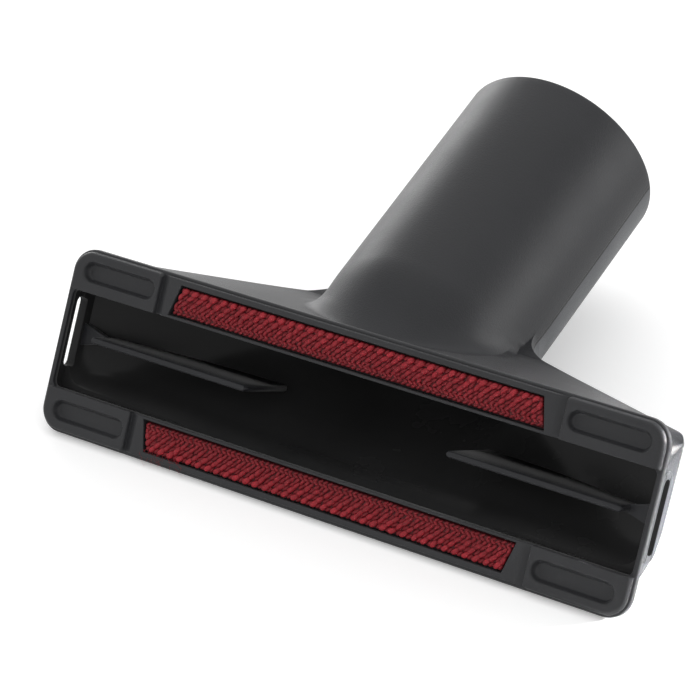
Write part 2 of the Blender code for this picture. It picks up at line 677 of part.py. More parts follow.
def main():
    clear_scene()
    plastic = moulding_material("charcoal_plastic", (0.035, 0.036, 0.040), 0.42)
    fabric = moulding_material("red_pile_fabric", (0.36, 0.015, 0.02), 0.9)

    body = outer_body()
    body.data.materials.append(plastic)
    cavity = inner_space()
    front_cut = front_block("front_cut", PLATE_BACK + PLATE_THICKNESS / 4)
    cavity_cut = front_block("cavity_cut", CAVITY_FRONT)
    tools = [front_cut, mouth_plate(), raised_parts(), cavity, mouth_slot(), inner_ribs(),
             gussets(), hollows()]
    use_tool(cavity, cavity_cut, "DIFFERENCE")
    for tool, operation in zip(tools, ("DIFFERENCE", "UNION", "UNION", "DIFFERENCE", "DIFFERENCE",
                                       "UNION", "UNION", "DIFFERENCE")):
        use_tool(body, tool, operation)

    strips = [lint_strip("upper_lint_strip", 1, fabric), lint_strip("lower_lint_strip", -1, fabric)]
    for item in [body] + strips:
        item.data.shade_smooth()
        item.data.set_sharp_from_angle(angle=math.radians(35))

    holder = bpy.data.objects.new("nozzle", None)
    bpy.context.collection.objects.link(holder)
    for item in [body, cavity_cut] + tools + strips:
        item.parent = holder
    holder.rotation_euler = (resting_tilt(), 0.0, 0.0)
    points = evaluated_points([body] + strips)
    low = points.min(axis=0)
    high = points.max(axis=0)
    holder.location = (-(low[0] + high[0]) / 2, -(low[1] + high[1]) / 2, -low[2])
    print("pieces", len(strips) + 1, "size", (high - low) * 1000)


main()
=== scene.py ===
# %% [markdown]
# # An upholstery nozzle for a vacuum cleaner
#
# The nozzle is one charcoal moulding: a wide flat mouth, a fishtail that narrows behind it, and
# a slanted round neck that takes the suction tube. Two red lint strips sit in pockets beside
# the mouth. The CAD model gives the sizes and places; this file gives each surface its fine
# shape and its finish.

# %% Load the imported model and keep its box
import math

import bmesh
import bpy
import numpy as np
from mathutils import Matrix, Vector


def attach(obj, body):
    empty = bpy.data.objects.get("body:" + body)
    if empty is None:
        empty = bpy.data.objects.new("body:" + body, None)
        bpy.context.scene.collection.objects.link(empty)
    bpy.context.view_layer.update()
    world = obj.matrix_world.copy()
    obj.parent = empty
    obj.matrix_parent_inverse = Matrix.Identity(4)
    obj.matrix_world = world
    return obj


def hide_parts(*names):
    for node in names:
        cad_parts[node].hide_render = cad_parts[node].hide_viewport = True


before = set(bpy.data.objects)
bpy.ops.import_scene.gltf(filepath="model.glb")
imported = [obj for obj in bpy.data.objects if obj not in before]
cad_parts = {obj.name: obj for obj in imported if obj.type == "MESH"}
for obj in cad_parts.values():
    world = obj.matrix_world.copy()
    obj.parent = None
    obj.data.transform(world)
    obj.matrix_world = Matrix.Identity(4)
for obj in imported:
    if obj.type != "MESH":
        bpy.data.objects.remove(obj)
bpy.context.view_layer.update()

# %% [markdown]
# ## Sizes
#
# They are the CAD model's own values, in metres, but for the slot of the mouth, which runs
# 0.4 mm nearer each end. Writing them once keeps every surface below tied to one product.

# %% Sizes
MM = 0.001
HALF_LENGTH, HALF_WIDTH, MOUTH_CORNER = 62.5 * MM, 17.5 * MM, 4.5 * MM
PLATE_FRONT, PLATE_BACK, PLATE_LIP = -1.0 * MM, -2.2 * MM, 0.5 * MM
HALF_SLOT, SLOT_HALF_LENGTH, SLOT_BACK = 9.4 * MM, 61.5 * MM, -4.2 * MM
BODY_HALF_LENGTH, BODY_HALF_WIDTH = HALF_LENGTH - PLATE_LIP, HALF_WIDTH - PLATE_LIP
CAVITY_HALF_LENGTH, CAVITY_FRONT, CAVITY_STEP = 60.7 * MM, -3.6 * MM, 0.4 * MM
NECK_ANGLE, NECK_RADIUS, NECK_DRAFT = math.radians(45), 20.0 * MM, 0.005
NECK_REACH, NECK_DROP, NECK_RIM_ROUND = 88.0 * MM, 9.0 * MM, 0.8 * MM
SOCKET_RADIUS, DUCT_RADIUS, DUCT_RUN = 17.6 * MM, 15.8 * MM, 7.2 * MM
SHOULDER_ANGLE, SHOULDER_REACH = math.radians(19.3), 38.1 * MM
SHOULDER_ROUND, NECK_FILLET, CORNER_LENGTH = 3.4 * MM, 8.0 * MM, 8.5 * MM
CREASE_AT_END, CREASE_AT_NECK = 10.9 * MM, 3.0 * MM
BACK_EDGE, BACK_ROUND, THIN_GAP = 1.0 * MM, 3.0 * MM, 0.5 * MM
SIDE_LOW, LOWER_ROUND = 1.7 * MM, 6.5 * MM
BELLY_REACH, BELLY_BLEND, BELLY_SPREAD, MOUND_FALL = 44.0 * MM, 1.5 * MM, 0.5, 5.0
NECK_BLEND, WALL, LEAST_RUN = 5.0 * MM, 2.4 * MM, 0.3 * MM
SHOULDER_WALL = 1.7 * WALL
SIN_NECK, COS_NECK = math.sin(NECK_ANGLE), math.cos(NECK_ANGLE)

# %% [markdown]
# ## Two sets of axes
#
# The mouth has its own axes: x along it, v across it and n out of it. The neck has x as well,
# t along its axis and s below it. A third step lays the finished nozzle down, on the lower
# edge of its mouth and the belly of its neck.

# %% Axes of the mouth, the neck and the table
TILT = math.radians(59.31705)
MOUTH_CENTRE = np.array([0.0, -38.4375 * MM, 16.226 * MM])
LAY_DOWN = np.array([[1.0, 0.0, 0.0],
                     [0.0, math.cos(TILT), -math.sin(TILT)],
                     [0.0, math.sin(TILT), math.cos(TILT)]])


def lay_down(points):
    """Place on the table: the mouth axes turned about x by the tilt, then moved."""
    return points @ LAY_DOWN.T + MOUTH_CENTRE


def neck_to_mouth(x, t, s):
    """Neck axes to mouth axes: the (t, s) plane turned about x by the neck's angle."""
    x, t, s = np.broadcast_arrays(x, t, s)
    return np.stack([x, t * SIN_NECK - s * COS_NECK - NECK_DROP, -t * COS_NECK - s * SIN_NECK], -1)


def mouth_to_neck(v, n):
    """Reach and depth at the neck's axis of a place across and out of the mouth."""
    return (v + NECK_DROP) * SIN_NECK - n * COS_NECK, -(v + NECK_DROP) * COS_NECK - n * SIN_NECK


# %% [markdown]
# ## Small helpers
#
# Most surfaces here are grids of points. A few functions turn a grid into a mesh, measure how
# far a point lies inside a rounded outline, and round an edge.

# %% Grid and edge helpers
def grid_faces(rows, columns, close_rows=False, close_columns=False):
    """Corner numbers of the quads of a grid, each row or column joined to the next."""
    r = np.arange(rows if close_rows else rows - 1)[:, None]
    c = np.arange(columns if close_columns else columns - 1)[None, :]
    after_r, after_c = (r + 1) % rows, (c + 1) % columns
    quads = [r * columns + c, r * columns + after_c, after_r * columns + after_c,
             after_r * columns + c]
    return np.stack(np.broadcast_arrays(*quads), -1).reshape(-1, 4)


def show(name, data):
    """A new object of some data, linked to the scene."""
    item = bpy.data.objects.new(name, data)
    bpy.context.scene.collection.objects.link(item)
    return item


def make_mesh(name, points, faces, slots=None):
    """A smooth mesh object from places in the axes of the mouth and corner numbers."""
    mesh = bpy.data.meshes.new(name)
    points, faces = lay_down(points.reshape(-1, 3)), np.asarray(faces)
    mesh.vertices.add(len(points))
    mesh.vertices.foreach_set("co", points.ravel())
    mesh.loops.add(faces.size)
    mesh.loops.foreach_set("vertex_index", faces.ravel())
    mesh.polygons.add(len(faces))
    mesh.polygons.foreach_set("loop_start", np.arange(len(faces)) * faces.shape[1])
    if slots is not None:
        mesh.polygons.foreach_set("material_index", slots)
    mesh.update(calc_edges=True)
    mesh.validate()
    mesh.shade_smooth()
    return show(name, mesh)


def keep(mesh, name, kind, domain, values):
    """Keeps a number for each point or face in the mesh, also when pieces are joined."""
    mesh.attributes.new(name, kind, domain).data.foreach_set("value", values.ravel())


def face_outwards(piece, weld=0.0):
    """Turns all faces of a closed shape outwards, once points nearer than weld are joined."""
    shape = bmesh.new()
    shape.from_mesh(piece.data)
    if weld:
        bmesh.ops.remove_doubles(shape, verts=shape.verts, dist=weld)
    bmesh.ops.recalc_face_normals(shape, faces=shape.faces)
    shape.to_mesh(piece.data)
    shape.free()
    return piece


def ease(value, start, end):
    """Rises smoothly from 0 at start to 1 at end: 3 h squared minus 2 h cubed."""
    share = np.clip((value - start) / (end - start), 0.0, 1.0)
    return share * share * (3.0 - 2.0 * share)


def blend_max(a, b, radius):
    """The larger of two heights, plus a rounded fillet where they are nearly equal."""
    near = np.maximum(radius - np.abs(a - b), 0.0) / np.maximum(radius, 1e-9)
    return np.maximum(a, b) + near * near * radius / 4.0


def oval(x, half_width, height):
    """Height of half an ellipse over its half width, and 0 beside it."""
    return height * np.sqrt(np.clip(1.0 - (x / half_width) ** 2, 0.0, 1.0))


def mound(x, half_width, height):
    """The same oval, but beside its foot it runs on down, MOUND_FALL times as fast as x."""
    return oval(x, half_width, height) - MOUND_FALL * np.maximum(np.abs(x) - half_width, 0.0)


def inside_box(x, v, half, radius, centre=(0, 0)):
    """How far a place lies inside a rectangle with rounded corners; negative outside."""
    qx = np.abs(x - centre[0]) - (half[0] - radius)
    qv = np.abs(v - centre[1]) - (half[1] - radius)
    beyond = np.hypot(np.maximum(qx, 0), np.maximum(qv, 0))
    return radius - beyond - np.minimum(np.maximum(qx, qv), 0)


def unit(vectors):
    """Vectors of length 1 in the same directions."""
    return vectors / (np.linalg.norm(vectors, axis=-1, keepdims=True) + 1e-12)


def rounded_step(depth_inside, radius):
    """A step from 0 to 1 with a quarter-round top, over one radius inside an outline."""
    share = 1.0 - np.clip(depth_inside / radius, 0.0, 1.0)
    return np.sqrt(1.0 - share * share)


# %% [markdown]
# ## The fishtail's outline
#
# Seen along the neck, the body is as wide as the mouth, turns a rounded corner, slopes up the
# shoulder and runs into the neck with a hollow fillet. That half outline is two arcs and a
# line. The inside follows the same rule, one wall thickness further in.

# %% Half outline of the shoulders
def shoulder_outline(half_length, reach, neck_radius, outer_round, inner_round, steps=14):
    """Reach t and half width x along an arc, a sloping line and a hollow arc into the neck."""
    slope, turn = math.tan(SHOULDER_ANGLE), math.pi / 2 - SHOULDER_ANGLE
    angles = np.linspace(0.0, turn, steps)
    corner_end = half_length - outer_round + outer_round * math.cos(turn)
    corner_t = reach - (corner_end - neck_radius) * slope - outer_round * math.sin(turn)
    fillet_start = neck_radius + inner_round - inner_round * math.cos(turn)
    fillet_t = reach - (fillet_start - neck_radius) * slope + inner_round * math.sin(turn)
    line_x = np.linspace(corner_end, fillet_start, 2 * steps)[1:-1]
    x = [half_length - outer_round + outer_round * np.cos(angles), line_x,
         neck_radius + inner_round - inner_round * np.cos(angles[::-1])]
    t = [corner_t + outer_round * np.sin(angles), reach - (line_x - neck_radius) * slope,
         fillet_t - inner_round * np.sin(angles[::-1])]
    start_t = fillet_t - inner_round * math.sin(turn)
    return np.concatenate(t), np.concatenate(x), start_t, fillet_start


OUTER_T, OUTER_X, FILLET_START, FILLET_START_X = shoulder_outline(
    BODY_HALF_LENGTH, SHOULDER_REACH, NECK_RADIUS, SHOULDER_ROUND, NECK_FILLET)
INNER_REACH = (SHOULDER_REACH - SHOULDER_WALL / math.cos(SHOULDER_ANGLE)
               + (NECK_RADIUS - DUCT_RADIUS) * math.tan(SHOULDER_ANGLE))
INNER_T, INNER_X, _, _ = shoulder_outline(
    CAVITY_HALF_LENGTH, INNER_REACH, DUCT_RADIUS, SHOULDER_ROUND - WALL, NECK_FILLET + WALL)
FILLET_END = float(OUTER_T[-1])
LIP_T, LIP_S = mouth_to_neck(BODY_HALF_WIDTH, PLATE_BACK)
LOW_LIP_T, LOW_LIP_S = mouth_to_neck(-BODY_HALF_WIDTH, PLATE_BACK)
CAVITY_HEIGHT = -mouth_to_neck(HALF_SLOT - CAVITY_STEP / 2, CAVITY_FRONT)[1]
CAVITY_LOW_T, CAVITY_LOW = mouth_to_neck(-HALF_SLOT + CAVITY_STEP / 2, CAVITY_FRONT)
SOCKET_START = FILLET_END + DUCT_RUN
print("shoulder fillet from", round(FILLET_START / MM, 2), "to", round(FILLET_END / MM, 2), "mm")

# %% [markdown]
# ## Heights of the upper side and depths of the underside
#
# Over the outline stand two height fields. The upper one is a shoulder, straight from the lip
# of the mouth plate back to a crease, with the neck's round top rising out of it. The lower one
# is a flat base with rounded sides and a belly that slopes down into the neck. A soft maximum
# blends the forms.

# %% Height fields of the body
EDGE_ANGLE, FLANK_ANGLE = math.radians(86), math.radians(80)


def neck_radius_at(t):
    """The neck's radius at reach t: it shrinks evenly from the rim towards the mouth."""
    return NECK_RADIUS - NECK_DRAFT * (NECK_REACH - t)


def crease_line(x):
    """Height and reach of the crease that ends the shoulder, for each x."""
    x = np.abs(x)
    share = np.clip((x - FILLET_START_X) / (BODY_HALF_LENGTH - FILLET_START_X), 0.0, 1.0)
    reach = np.interp(np.maximum(x, FILLET_START_X), OUTER_X[::-1], OUTER_T[::-1])
    return CREASE_AT_NECK + (CREASE_AT_END - CREASE_AT_NECK) * share, reach


def back_depth(x):
    """Depth behind the mouth of the back, which runs straight across the mouth."""
    height, reach = crease_line(x)
    return reach * COS_NECK - (height - BACK_EDGE) * SIN_NECK


def shoulder_height(x, t):
    """A straight line in t from the lip's height to the crease's height, for each x."""
    x = np.abs(x)
    crease, crease_t = crease_line(x)
    corner = np.clip((x - (BODY_HALF_LENGTH - CORNER_LENGTH)) / CORNER_LENGTH, 0.0, 1.0)
    lip = CREASE_AT_END + (-LIP_S - CREASE_AT_END) * np.sqrt(1.0 - corner ** 2)
    lip_t = (lip * SIN_NECK - PLATE_BACK) / COS_NECK
    along = np.clip((t - lip_t) / np.maximum(crease_t - lip_t, LEAST_RUN), 0.0, 1.0)
    return lip + (crease - lip) * along


def into_neck(t):
    """Share of the way through the fillet: 0 in the fishtail, 1 in the neck."""
    return ease(t, FILLET_START, FILLET_END)


def belly_depth(t):
    """A straight slope from the lower lip to the neck's radius, by a soft minimum."""
    slope = (NECK_RADIUS - LOW_LIP_S) / (BELLY_REACH - LOW_LIP_T)
    return -blend_max(-(LOW_LIP_S + slope * (t - LOW_LIP_T)), -neck_radius_at(t), BELLY_BLEND)


def upper_side(x, t, radius, rise_start, shoulder):
    """The soft maximum of the shoulder and of an oval that rises to the neck's radius."""
    rise = rise_start + (radius - rise_start) * ease(t, LIP_T, FILLET_START)
    share = into_neck(t)
    flank = shoulder * (1.0 - share) + radius * math.cos(EDGE_ANGLE) * share
    fillet = NECK_BLEND * ease(t, LIP_T, LIP_T + NECK_FILLET) * (1.0 - share)
    return blend_max(oval(x, radius, rise), flank, fillet)


def lower_side(x, t, half_width, radius, base, side_low, corner_round, belly, back):
    """The soft maximum of a round-sided base, cut by the back, and of the belly."""
    corner = np.clip((np.abs(x) - (half_width - corner_round)) / corner_round, 0.0, 1.0)
    flat = side_low + (base - side_low) * np.sqrt(1.0 - corner ** 2)
    limit = (back - np.minimum(t, FILLET_START) * COS_NECK) / SIN_NECK
    flat = -blend_max(-flat, -limit, BACK_ROUND)
    narrow = np.maximum(oval(x, radius, belly), belly * math.cos(EDGE_ANGLE))
    narrowing = ease(t, FILLET_START - NECK_FILLET, FILLET_END)
    wide = mound(x, radius + BELLY_SPREAD * np.maximum(FILLET_END - t, 0.0), belly)
    fillet = NECK_BLEND * (1.0 - into_neck(t))
    fillet = fillet * ease(t, LOW_LIP_T, LOW_LIP_T + NECK_FILLET)
    return blend_max(flat * (1.0 - narrowing) + narrow * narrowing, wide, fillet)


def outer_heights(x, t):
    """Height of the upper side and depth of the underside of the outside."""
    radius = neck_radius_at(t)
    draft = (NECK_RADIUS - radius) * into_neck(t)
    half_width = np.interp(t, OUTER_T, OUTER_X) - draft
    up = upper_side(x, t, radius, -LIP_S, shoulder_height(x, t))
    down = lower_side(x, t, half_width, radius, LOW_LIP_S, SIDE_LOW, LOWER_ROUND, belly_depth(t),
                      back_depth(x))
    return up, down, half_width, radius


def inner_heights(x, t):
    """The same for the air duct inside, a wall thickness further in."""
    half_width = np.interp(t, INNER_T, INNER_X)
    deepen = ease(t, CAVITY_LOW_T, CAVITY_LOW_T + NECK_FILLET)
    base = CAVITY_LOW + (LOW_LIP_S - WALL - CAVITY_LOW) * deepen
    belly = belly_depth(t) - (neck_radius_at(t) - DUCT_RADIUS)
    belly = CAVITY_LOW + (belly - CAVITY_LOW) * deepen
    shoulder = np.minimum(shoulder_height(x, t) - WALL, CAVITY_HEIGHT)
    up = upper_side(x, t, DUCT_RADIUS, CAVITY_HEIGHT, shoulder)
    down = lower_side(x, t, half_width, DUCT_RADIUS, base, 0.0, LOWER_ROUND - WALL, belly,
                      back_depth(x) - WALL)
    return up, np.maximum(down, THIN_GAP - up), half_width, DUCT_RADIUS + 0.0 * t


# %% [markdown]
# ## The shell as one ring of rings
#
# A section of the body is a closed ring of points. The rings run along the outside from the
# mouth to the neck's rim and back along the inside, so the whole wall is one closed grid with
# no seam. The first rings start in the slanting plane of the mouth.

# %% Rings of the outside and the inside
NECK_STEPS, FLANK_STEPS, FRONT_ROUNDS = 30, 16, 6


def ring(t, heights, front=None):
    """One section at reach t. With a front plane, each point starts from that plane instead."""
    neck = np.sin(np.linspace(0.0, FLANK_ANGLE, NECK_STEPS + 1))
    share = 1.0 - np.linspace(1.0, 0.0, FLANK_STEPS + 1)[1:] ** 2
    _, _, half_width, radius = heights(0.0, np.array(t))
    roundness = float(into_neck(t))
    edge = half_width * (1.0 - (1.0 - math.sin(EDGE_ANGLE)) * roundness)
    half = np.concatenate([radius * neck, radius * neck[-1] + (edge - radius * neck[-1]) * share])
    x = np.concatenate([-half[::-1], half[1:]])
    up_t = down_t = np.full(len(x), t)
    if front is not None:
        plane, progress = front
        for _ in range(FRONT_ROUNDS):
            up_s, down_s = -heights(x, up_t)[0], heights(x, down_t)[1]
            up_t = (-plane - up_s * SIN_NECK) / COS_NECK
            down_t = (-plane - down_s * SIN_NECK) / COS_NECK
        up_t = up_t + (t - up_t) * progress
        down_t = down_t + (t - down_t) * progress
    up, down = heights(x, up_t)[0], heights(x, down_t)[1]
    middle_t, middle_s = (up_t[-1] + down_t[-1]) / 2, (down[-1] - up[-1]) / 2
    side = neck_to_mouth(np.array([half_width]), middle_t, middle_s)
    return np.concatenate([neck_to_mouth(x, up_t, -up), side, neck_to_mouth(x, down_t, down)[::-1],
                           side * [-1.0, 1.0, 1.0]])


def round_ring(t, radius):
    """A round section of the neck with its points at the same angles as the others."""
    def circle(x, t):
        """Half a circle up and down, for every t."""
        half = oval(x, radius, radius)
        return half, half, np.array(radius), np.array(radius)
    return ring(t, circle)


FRONT_RINGS, NECK_RINGS, RIM_RINGS, LAST_RING = 14, 16, 6, NECK_REACH - 2 * MM
FRONT_LAP, FRONT_DROP, STEP_GAP, STEP_EDGE = 0.1 * MM, 0.2 * MM, 0.3 * MM, 0.1 * MM
WALL_PLANE, progress = PLATE_BACK + FRONT_LAP, np.linspace(0, 1, FRONT_RINGS)
outer_rings = [ring(OUTER_T[0], outer_heights, (WALL_PLANE, p)) for p in progress]
outer_rings += [ring(t, outer_heights) for t in OUTER_T[1:]]
outer_rings += [ring(t, outer_heights) for t in np.linspace(FILLET_END, LAST_RING, NECK_RINGS)[1:]]
outer_rings += [round_ring(NECK_REACH - NECK_RIM_ROUND * (1 - math.sin(a)),
                           NECK_RADIUS - NECK_RIM_ROUND * (1 - math.cos(a)))
                for a in np.linspace(0.0, math.pi / 2, RIM_RINGS)]
inner_rings = [ring(INNER_T[0], inner_heights, (CAVITY_FRONT, p)) for p in progress]
inner_rings += [ring(t, inner_heights) for t in INNER_T[1:]]
inner_rings += [round_ring(t, r) for t, r in (
    (SOCKET_START - STEP_GAP, DUCT_RADIUS), (SOCKET_START, DUCT_RADIUS),
    (SOCKET_START, DUCT_RADIUS + STEP_EDGE), (SOCKET_START, SOCKET_RADIUS - STEP_EDGE),
    (SOCKET_START, SOCKET_RADIUS), (SOCKET_START + STEP_GAP, SOCKET_RADIUS),
    (NECK_REACH - NECK_RIM_ROUND, SOCKET_RADIUS), (NECK_REACH, SOCKET_RADIUS + NECK_RIM_ROUND))]
drop = inner_rings[0].copy()
drop[:, 2] = WALL_PLANE - FRONT_DROP
rings = np.stack(outer_rings + inner_rings[::-1] + [drop])
count, around = rings.shape[:2]
wall_faces = grid_faces(count, around, True, True)
print("shell rings", count, "points a ring", around)

# %% [markdown]
# The two halves of the mould meet along the ridge and the neck's sides, so a fine dark line runs
# there. Below it the lower half is painted paler, a painted reflection of the bright surroundings.
# Each point gets its depth below the side line of the rings, which is taken straight through the
# fillet; the material draws the dark line where that depth is about a millimetre, and the painted
# paler colour beyond it. Each face gets a number for its finish.

# %% Finish of each face and depth below the side line
# Finish number 2 is the pale skin: plastic painted paler as a painted reflection of the
# surroundings.
CHARCOAL, DUCT, PAINTED_PALE_SKIN, FACE_PLATE = 0, 1, 2, 3
ring_numbers = np.arange(count)
reach, depth = mouth_to_neck(rings[:, :, 1], rings[:, :, 2])
side = around // 2 - 1
past_fillet = FILLET_END + STEP_EDGE
steady = (reach[:, side] < FILLET_START - NECK_FILLET / 2) | (reach[:, side] > past_fillet)
side_line = np.interp(ring_numbers, ring_numbers[steady], depth[steady, side])
below_side = depth - side_line[:, None]
ring_finish = np.where(ring_numbers >= len(outer_rings), DUCT, CHARCOAL)
wall_slots = np.repeat(ring_finish, around).astype(np.int32)

# %% [markdown]
# ## Openings of the shell
#
# The straight slot of the mouth and the small vents in the end walls are cut with Booleans,
# which leave a clean edge in a curved wall. Each vent's raised frame joins the wall first.

# %% Bars with rounded outlines, the tools of the cuts
LEAST_RADIUS, WELD = 0.02 * MM, 1e-7


def bar(name, centre, half, radius, levels, along_x=False, arc=8):
    """A rounded rectangle swept through levels of (depth, inset), as one closed grid of quads."""
    angles = np.linspace(0, math.pi / 2, arc)
    quarter = np.stack([np.cos(angles), np.sin(angles)], -1)
    arcs = np.concatenate([quarter, quarter[:, ::-1] * [-1, 1], -quarter,
                           quarter[:, ::-1] * [1, -1]])
    signs = np.repeat(np.array([[1, 1], [-1, 1], [-1, -1], [1, -1]]), arc, axis=0)
    centre, axis, rows = np.array(centre, float), 0 if along_x else 2, []
    for depth, inset in levels:
        r = max(radius - inset, LEAST_RADIUS)
        outline = signs * (np.array(half) - inset - r) + arcs * r + centre
        rows.append(np.insert(outline, axis, depth, axis=1))
    caps = [row * 0.0 + np.insert(centre, axis, row[0, axis]) for row in (rows[0], rows[-1])]
    points = np.concatenate([caps[0], *rows, caps[1]])
    faces = grid_faces(len(rows) + 2, 4 * arc, False, True)
    piece = face_outwards(make_mesh(name, points, faces), WELD)
    piece.data.shade_smooth()
    return piece


VENT_LENGTH, VENT_WIDTH, VENT_V, VENT_N = 13.5 * MM, 2.2 * MM, 1.1 * MM, -4.3 * MM
VENT_FRAME, VENT_RISE = 1.4 * MM, 0.35 * MM
VENT_PROFILE = [(-0.6 * MM, 0.0), (0.15 * MM, 0.0), (0.29 * MM, 0.06 * MM), (VENT_RISE, 0.2 * MM)]
VENT_CUT, END_WALL = [(57 * MM, 0.0), (64 * MM, 0.0)], 60 * MM
SLOT_CLEAR, SLOT_TOOL_ROUND, SLOT_FRONT = 0.02 * MM, 0.5 * MM, 1.0 * MM


def vent(name, side, margin, levels):
    """A round-ended bar along x at a vent, wider by the margin."""
    half = (VENT_LENGTH / 2 + margin, VENT_WIDTH / 2 + margin)
    levels = [(side * depth, inset) for depth, inset in levels]
    return bar(name, (VENT_V, VENT_N), half, half[1], levels, along_x=True, arc=12)


# %% Cut the shell
shell = face_outwards(make_mesh("nozzle_shell", rings, wall_faces, wall_slots))
keep(shell.data, "below_side", "FLOAT", "POINT", below_side)
frame_levels = [(BODY_HALF_LENGTH + rise, inset) for rise, inset in VENT_PROFILE]
ends = (("right", 1), ("left", -1))
tools = [("UNION", vent("vent_frame_" + end, sign, VENT_FRAME, frame_levels)) for end, sign in ends]
slot_half = (SLOT_HALF_LENGTH + SLOT_CLEAR, HALF_SLOT + SLOT_CLEAR)
slot_levels = [(SLOT_BACK, 0.0), (SLOT_FRONT, 0.0)]
tools.append(("DIFFERENCE", bar("slot_tool", (0, 0), slot_half, SLOT_TOOL_ROUND, slot_levels)))
tools += [("DIFFERENCE", vent("vent_" + end, sign, 0.0, VENT_CUT)) for end, sign in ends]
for operation, tool in tools:
    step = shell.modifiers.new(tool.name, "BOOLEAN")
    step.operation, step.solver, step.object = operation, "EXACT", tool
cut_shell = shell.evaluated_get(bpy.context.evaluated_depsgraph_get())
cut_mesh = bpy.data.meshes.new_from_object(cut_shell)
shell.modifiers.clear()
shell.data = cut_mesh
for operation, tool in tools:
    bpy.data.objects.remove(tool, do_unlink=True)
print("shell faces", len(cut_mesh.polygons))

# %% [markdown]
# The Booleans made new faces. Those of the end walls and the vent frames get the pale skin, which
# is painted reflection of the bright surroundings, and those inside the vents and the slot go to
# the duct. Edges sharper than 35 degrees are marked sharp, so that flat walls beside a cut stay
# evenly shaded.

# %% Finish of the cut faces
NEAR, SHARP_ANGLE = 0.05 * MM, math.radians(35)
finish = np.empty(len(cut_mesh.polygons), np.int32)
cut_mesh.polygons.foreach_get("material_index", finish)
centres = np.empty((len(finish), 3))
cut_mesh.polygons.foreach_get("center", centres.ravel())
cut_x, cut_v, cut_n = ((centres - MOUTH_CENTRE) @ LAY_DOWN).T
in_vent = ((np.abs(cut_v - VENT_V) < VENT_LENGTH / 2 + NEAR)
           & (np.abs(cut_n - VENT_N) < VENT_WIDTH / 2 + NEAR) & (np.abs(cut_x) > END_WALL))
slot_depth = inside_box(cut_x, cut_v, (SLOT_HALF_LENGTH, HALF_SLOT), SLOT_TOOL_ROUND)
in_slot = (slot_depth > -NEAR) & (cut_n > SLOT_BACK - NEAR)
# End walls and vent frames get the pale skin, a painted reflection.
finish[(finish == CHARCOAL) & (np.abs(cut_x) > BODY_HALF_LENGTH - NEAR)] = PAINTED_PALE_SKIN
finish[in_vent | in_slot] = DUCT
cut_mesh.set_sharp_from_angle(angle=SHARP_ANGLE)
keep(cut_mesh, "finish", "INT", "FACE", finish)
print("faces of each finish", np.bincount(finish))

# %% [markdown]
# ## The face of the mouth
#
# Everything on the front is relief on one flat plate: four pads with a dimple each, two low
# frames, and the pockets of the strips. That makes it a height field, n for each place x, v.
# Grid lines crowd together at each edge, so that a small radius has enough points, and gentle
# warps bend the grid round the corners and along the slanting pocket ends.

# %% Sizes of the pads, frames and pockets
EDGE = 0.35 * MM
PAD_INNER, PAD_OUTER, PAD_TOP = 42.5 * MM, 62.1 * MM, 17.1 * MM
FRAME_END, FRAME_TOP, FRAME_FRONT = 41.2 * MM, 16.9 * MM, -0.3 * MM
POCKET_LOW, POCKET_HIGH, POCKET_END, POCKET_SLANT = 9.9 * MM, 15.8 * MM, 39.6 * MM, 1.5 * MM
POCKET_FLOOR, SLOT_CORNER, SLOT_EDGE = -2.0 * MM, 1.2 * MM, 0.22 * MM
DIMPLE_PLACE, DIMPLE_HALF = (51.5 * MM, 13.3 * MM), (8.1 * MM, 1.95 * MM)
DIMPLE_DEPTH, DIMPLE_START, DIMPLE_END = 1.45 * MM, -0.15 * MM, 0.65 * MM
RIM_ROUND, CORNER_ROUND, FRAME_ROUND, POCKET_ROUND = 0.9 * MM, 0.8 * MM, 0.2 * MM, 0.15 * MM
POCKET_SIDE, DEEP_SIDE, PAST_PAD, PAST_FRAME = 0.03 * MM, 9 * MM, 10 * MM, 3 * MM
PAD_INSET, FRAME_FADE = 0.4 * MM, 0.7 * MM


# %% Grid lines, dense at every edge
ROUND_SHARES = np.array([-0.06, 0.0, 0.05, 0.16, 0.32, 0.55, 0.78, 1.0])
LINE_GAP = 0.12 * MM


def grid_lines(spans, edges, extra):
    """Lines on both sides of 0: even ones over spans, crowded ones at edges, and extra ones.

    A span is (start, stop, step). At an edge of (place, radius, inward) the lines follow a quarter
    round: dense at its steep side, and one just outside it. Even lines too near them are left out.
    """
    dense = [place + inward * ROUND_SHARES * radius for place, radius, inward in edges]
    dense = np.unique(np.round(np.concatenate([extra, *dense]), 9))
    even = np.concatenate([np.arange(*span) for span in spans])
    clear = np.abs(even[:, None] - dense).min(axis=1) > LINE_GAP
    lines = np.unique(np.concatenate([even[clear], dense]))
    lines = lines[lines <= spans[-1][1] + 1e-9]
    return np.concatenate([-lines[::-1], lines[lines > 0]])


x_lines = grid_lines(
    [(0.0, 37 * MM, 0.7 * MM), (37 * MM, 43 * MM, 0.3 * MM), (43 * MM, HALF_LENGTH, 0.22 * MM)],
    [(HALF_LENGTH, EDGE, -1), (PAD_OUTER, EDGE, -1), (SLOT_HALF_LENGTH, SLOT_EDGE, 1),
     (PAD_INNER, EDGE, 1), (POCKET_END, POCKET_ROUND, 1)], [POCKET_END - POCKET_SIDE, HALF_LENGTH])
v_lines = grid_lines(
    [(0.0, HALF_SLOT, 0.8 * MM), (HALF_SLOT, HALF_WIDTH, 0.2 * MM)],
    [(HALF_WIDTH, EDGE, -1), (PAD_TOP, EDGE, -1), (FRAME_TOP, FRAME_ROUND, -1),
     (HALF_SLOT, SLOT_EDGE, 1), (POCKET_LOW, POCKET_ROUND, -1), (POCKET_HIGH, POCKET_ROUND, 1)],
    [POCKET_LOW + POCKET_SIDE, POCKET_HIGH - POCKET_SIDE, HALF_WIDTH])
print("face grid", len(x_lines), "by", len(v_lines))


# %% Warps of the grid
SLOT_FADE, LEAN_START, LEAN_REST, LEAN_FADE = 1.2 * MM, 34 * MM, 0.2 * MM, 0.8 * MM


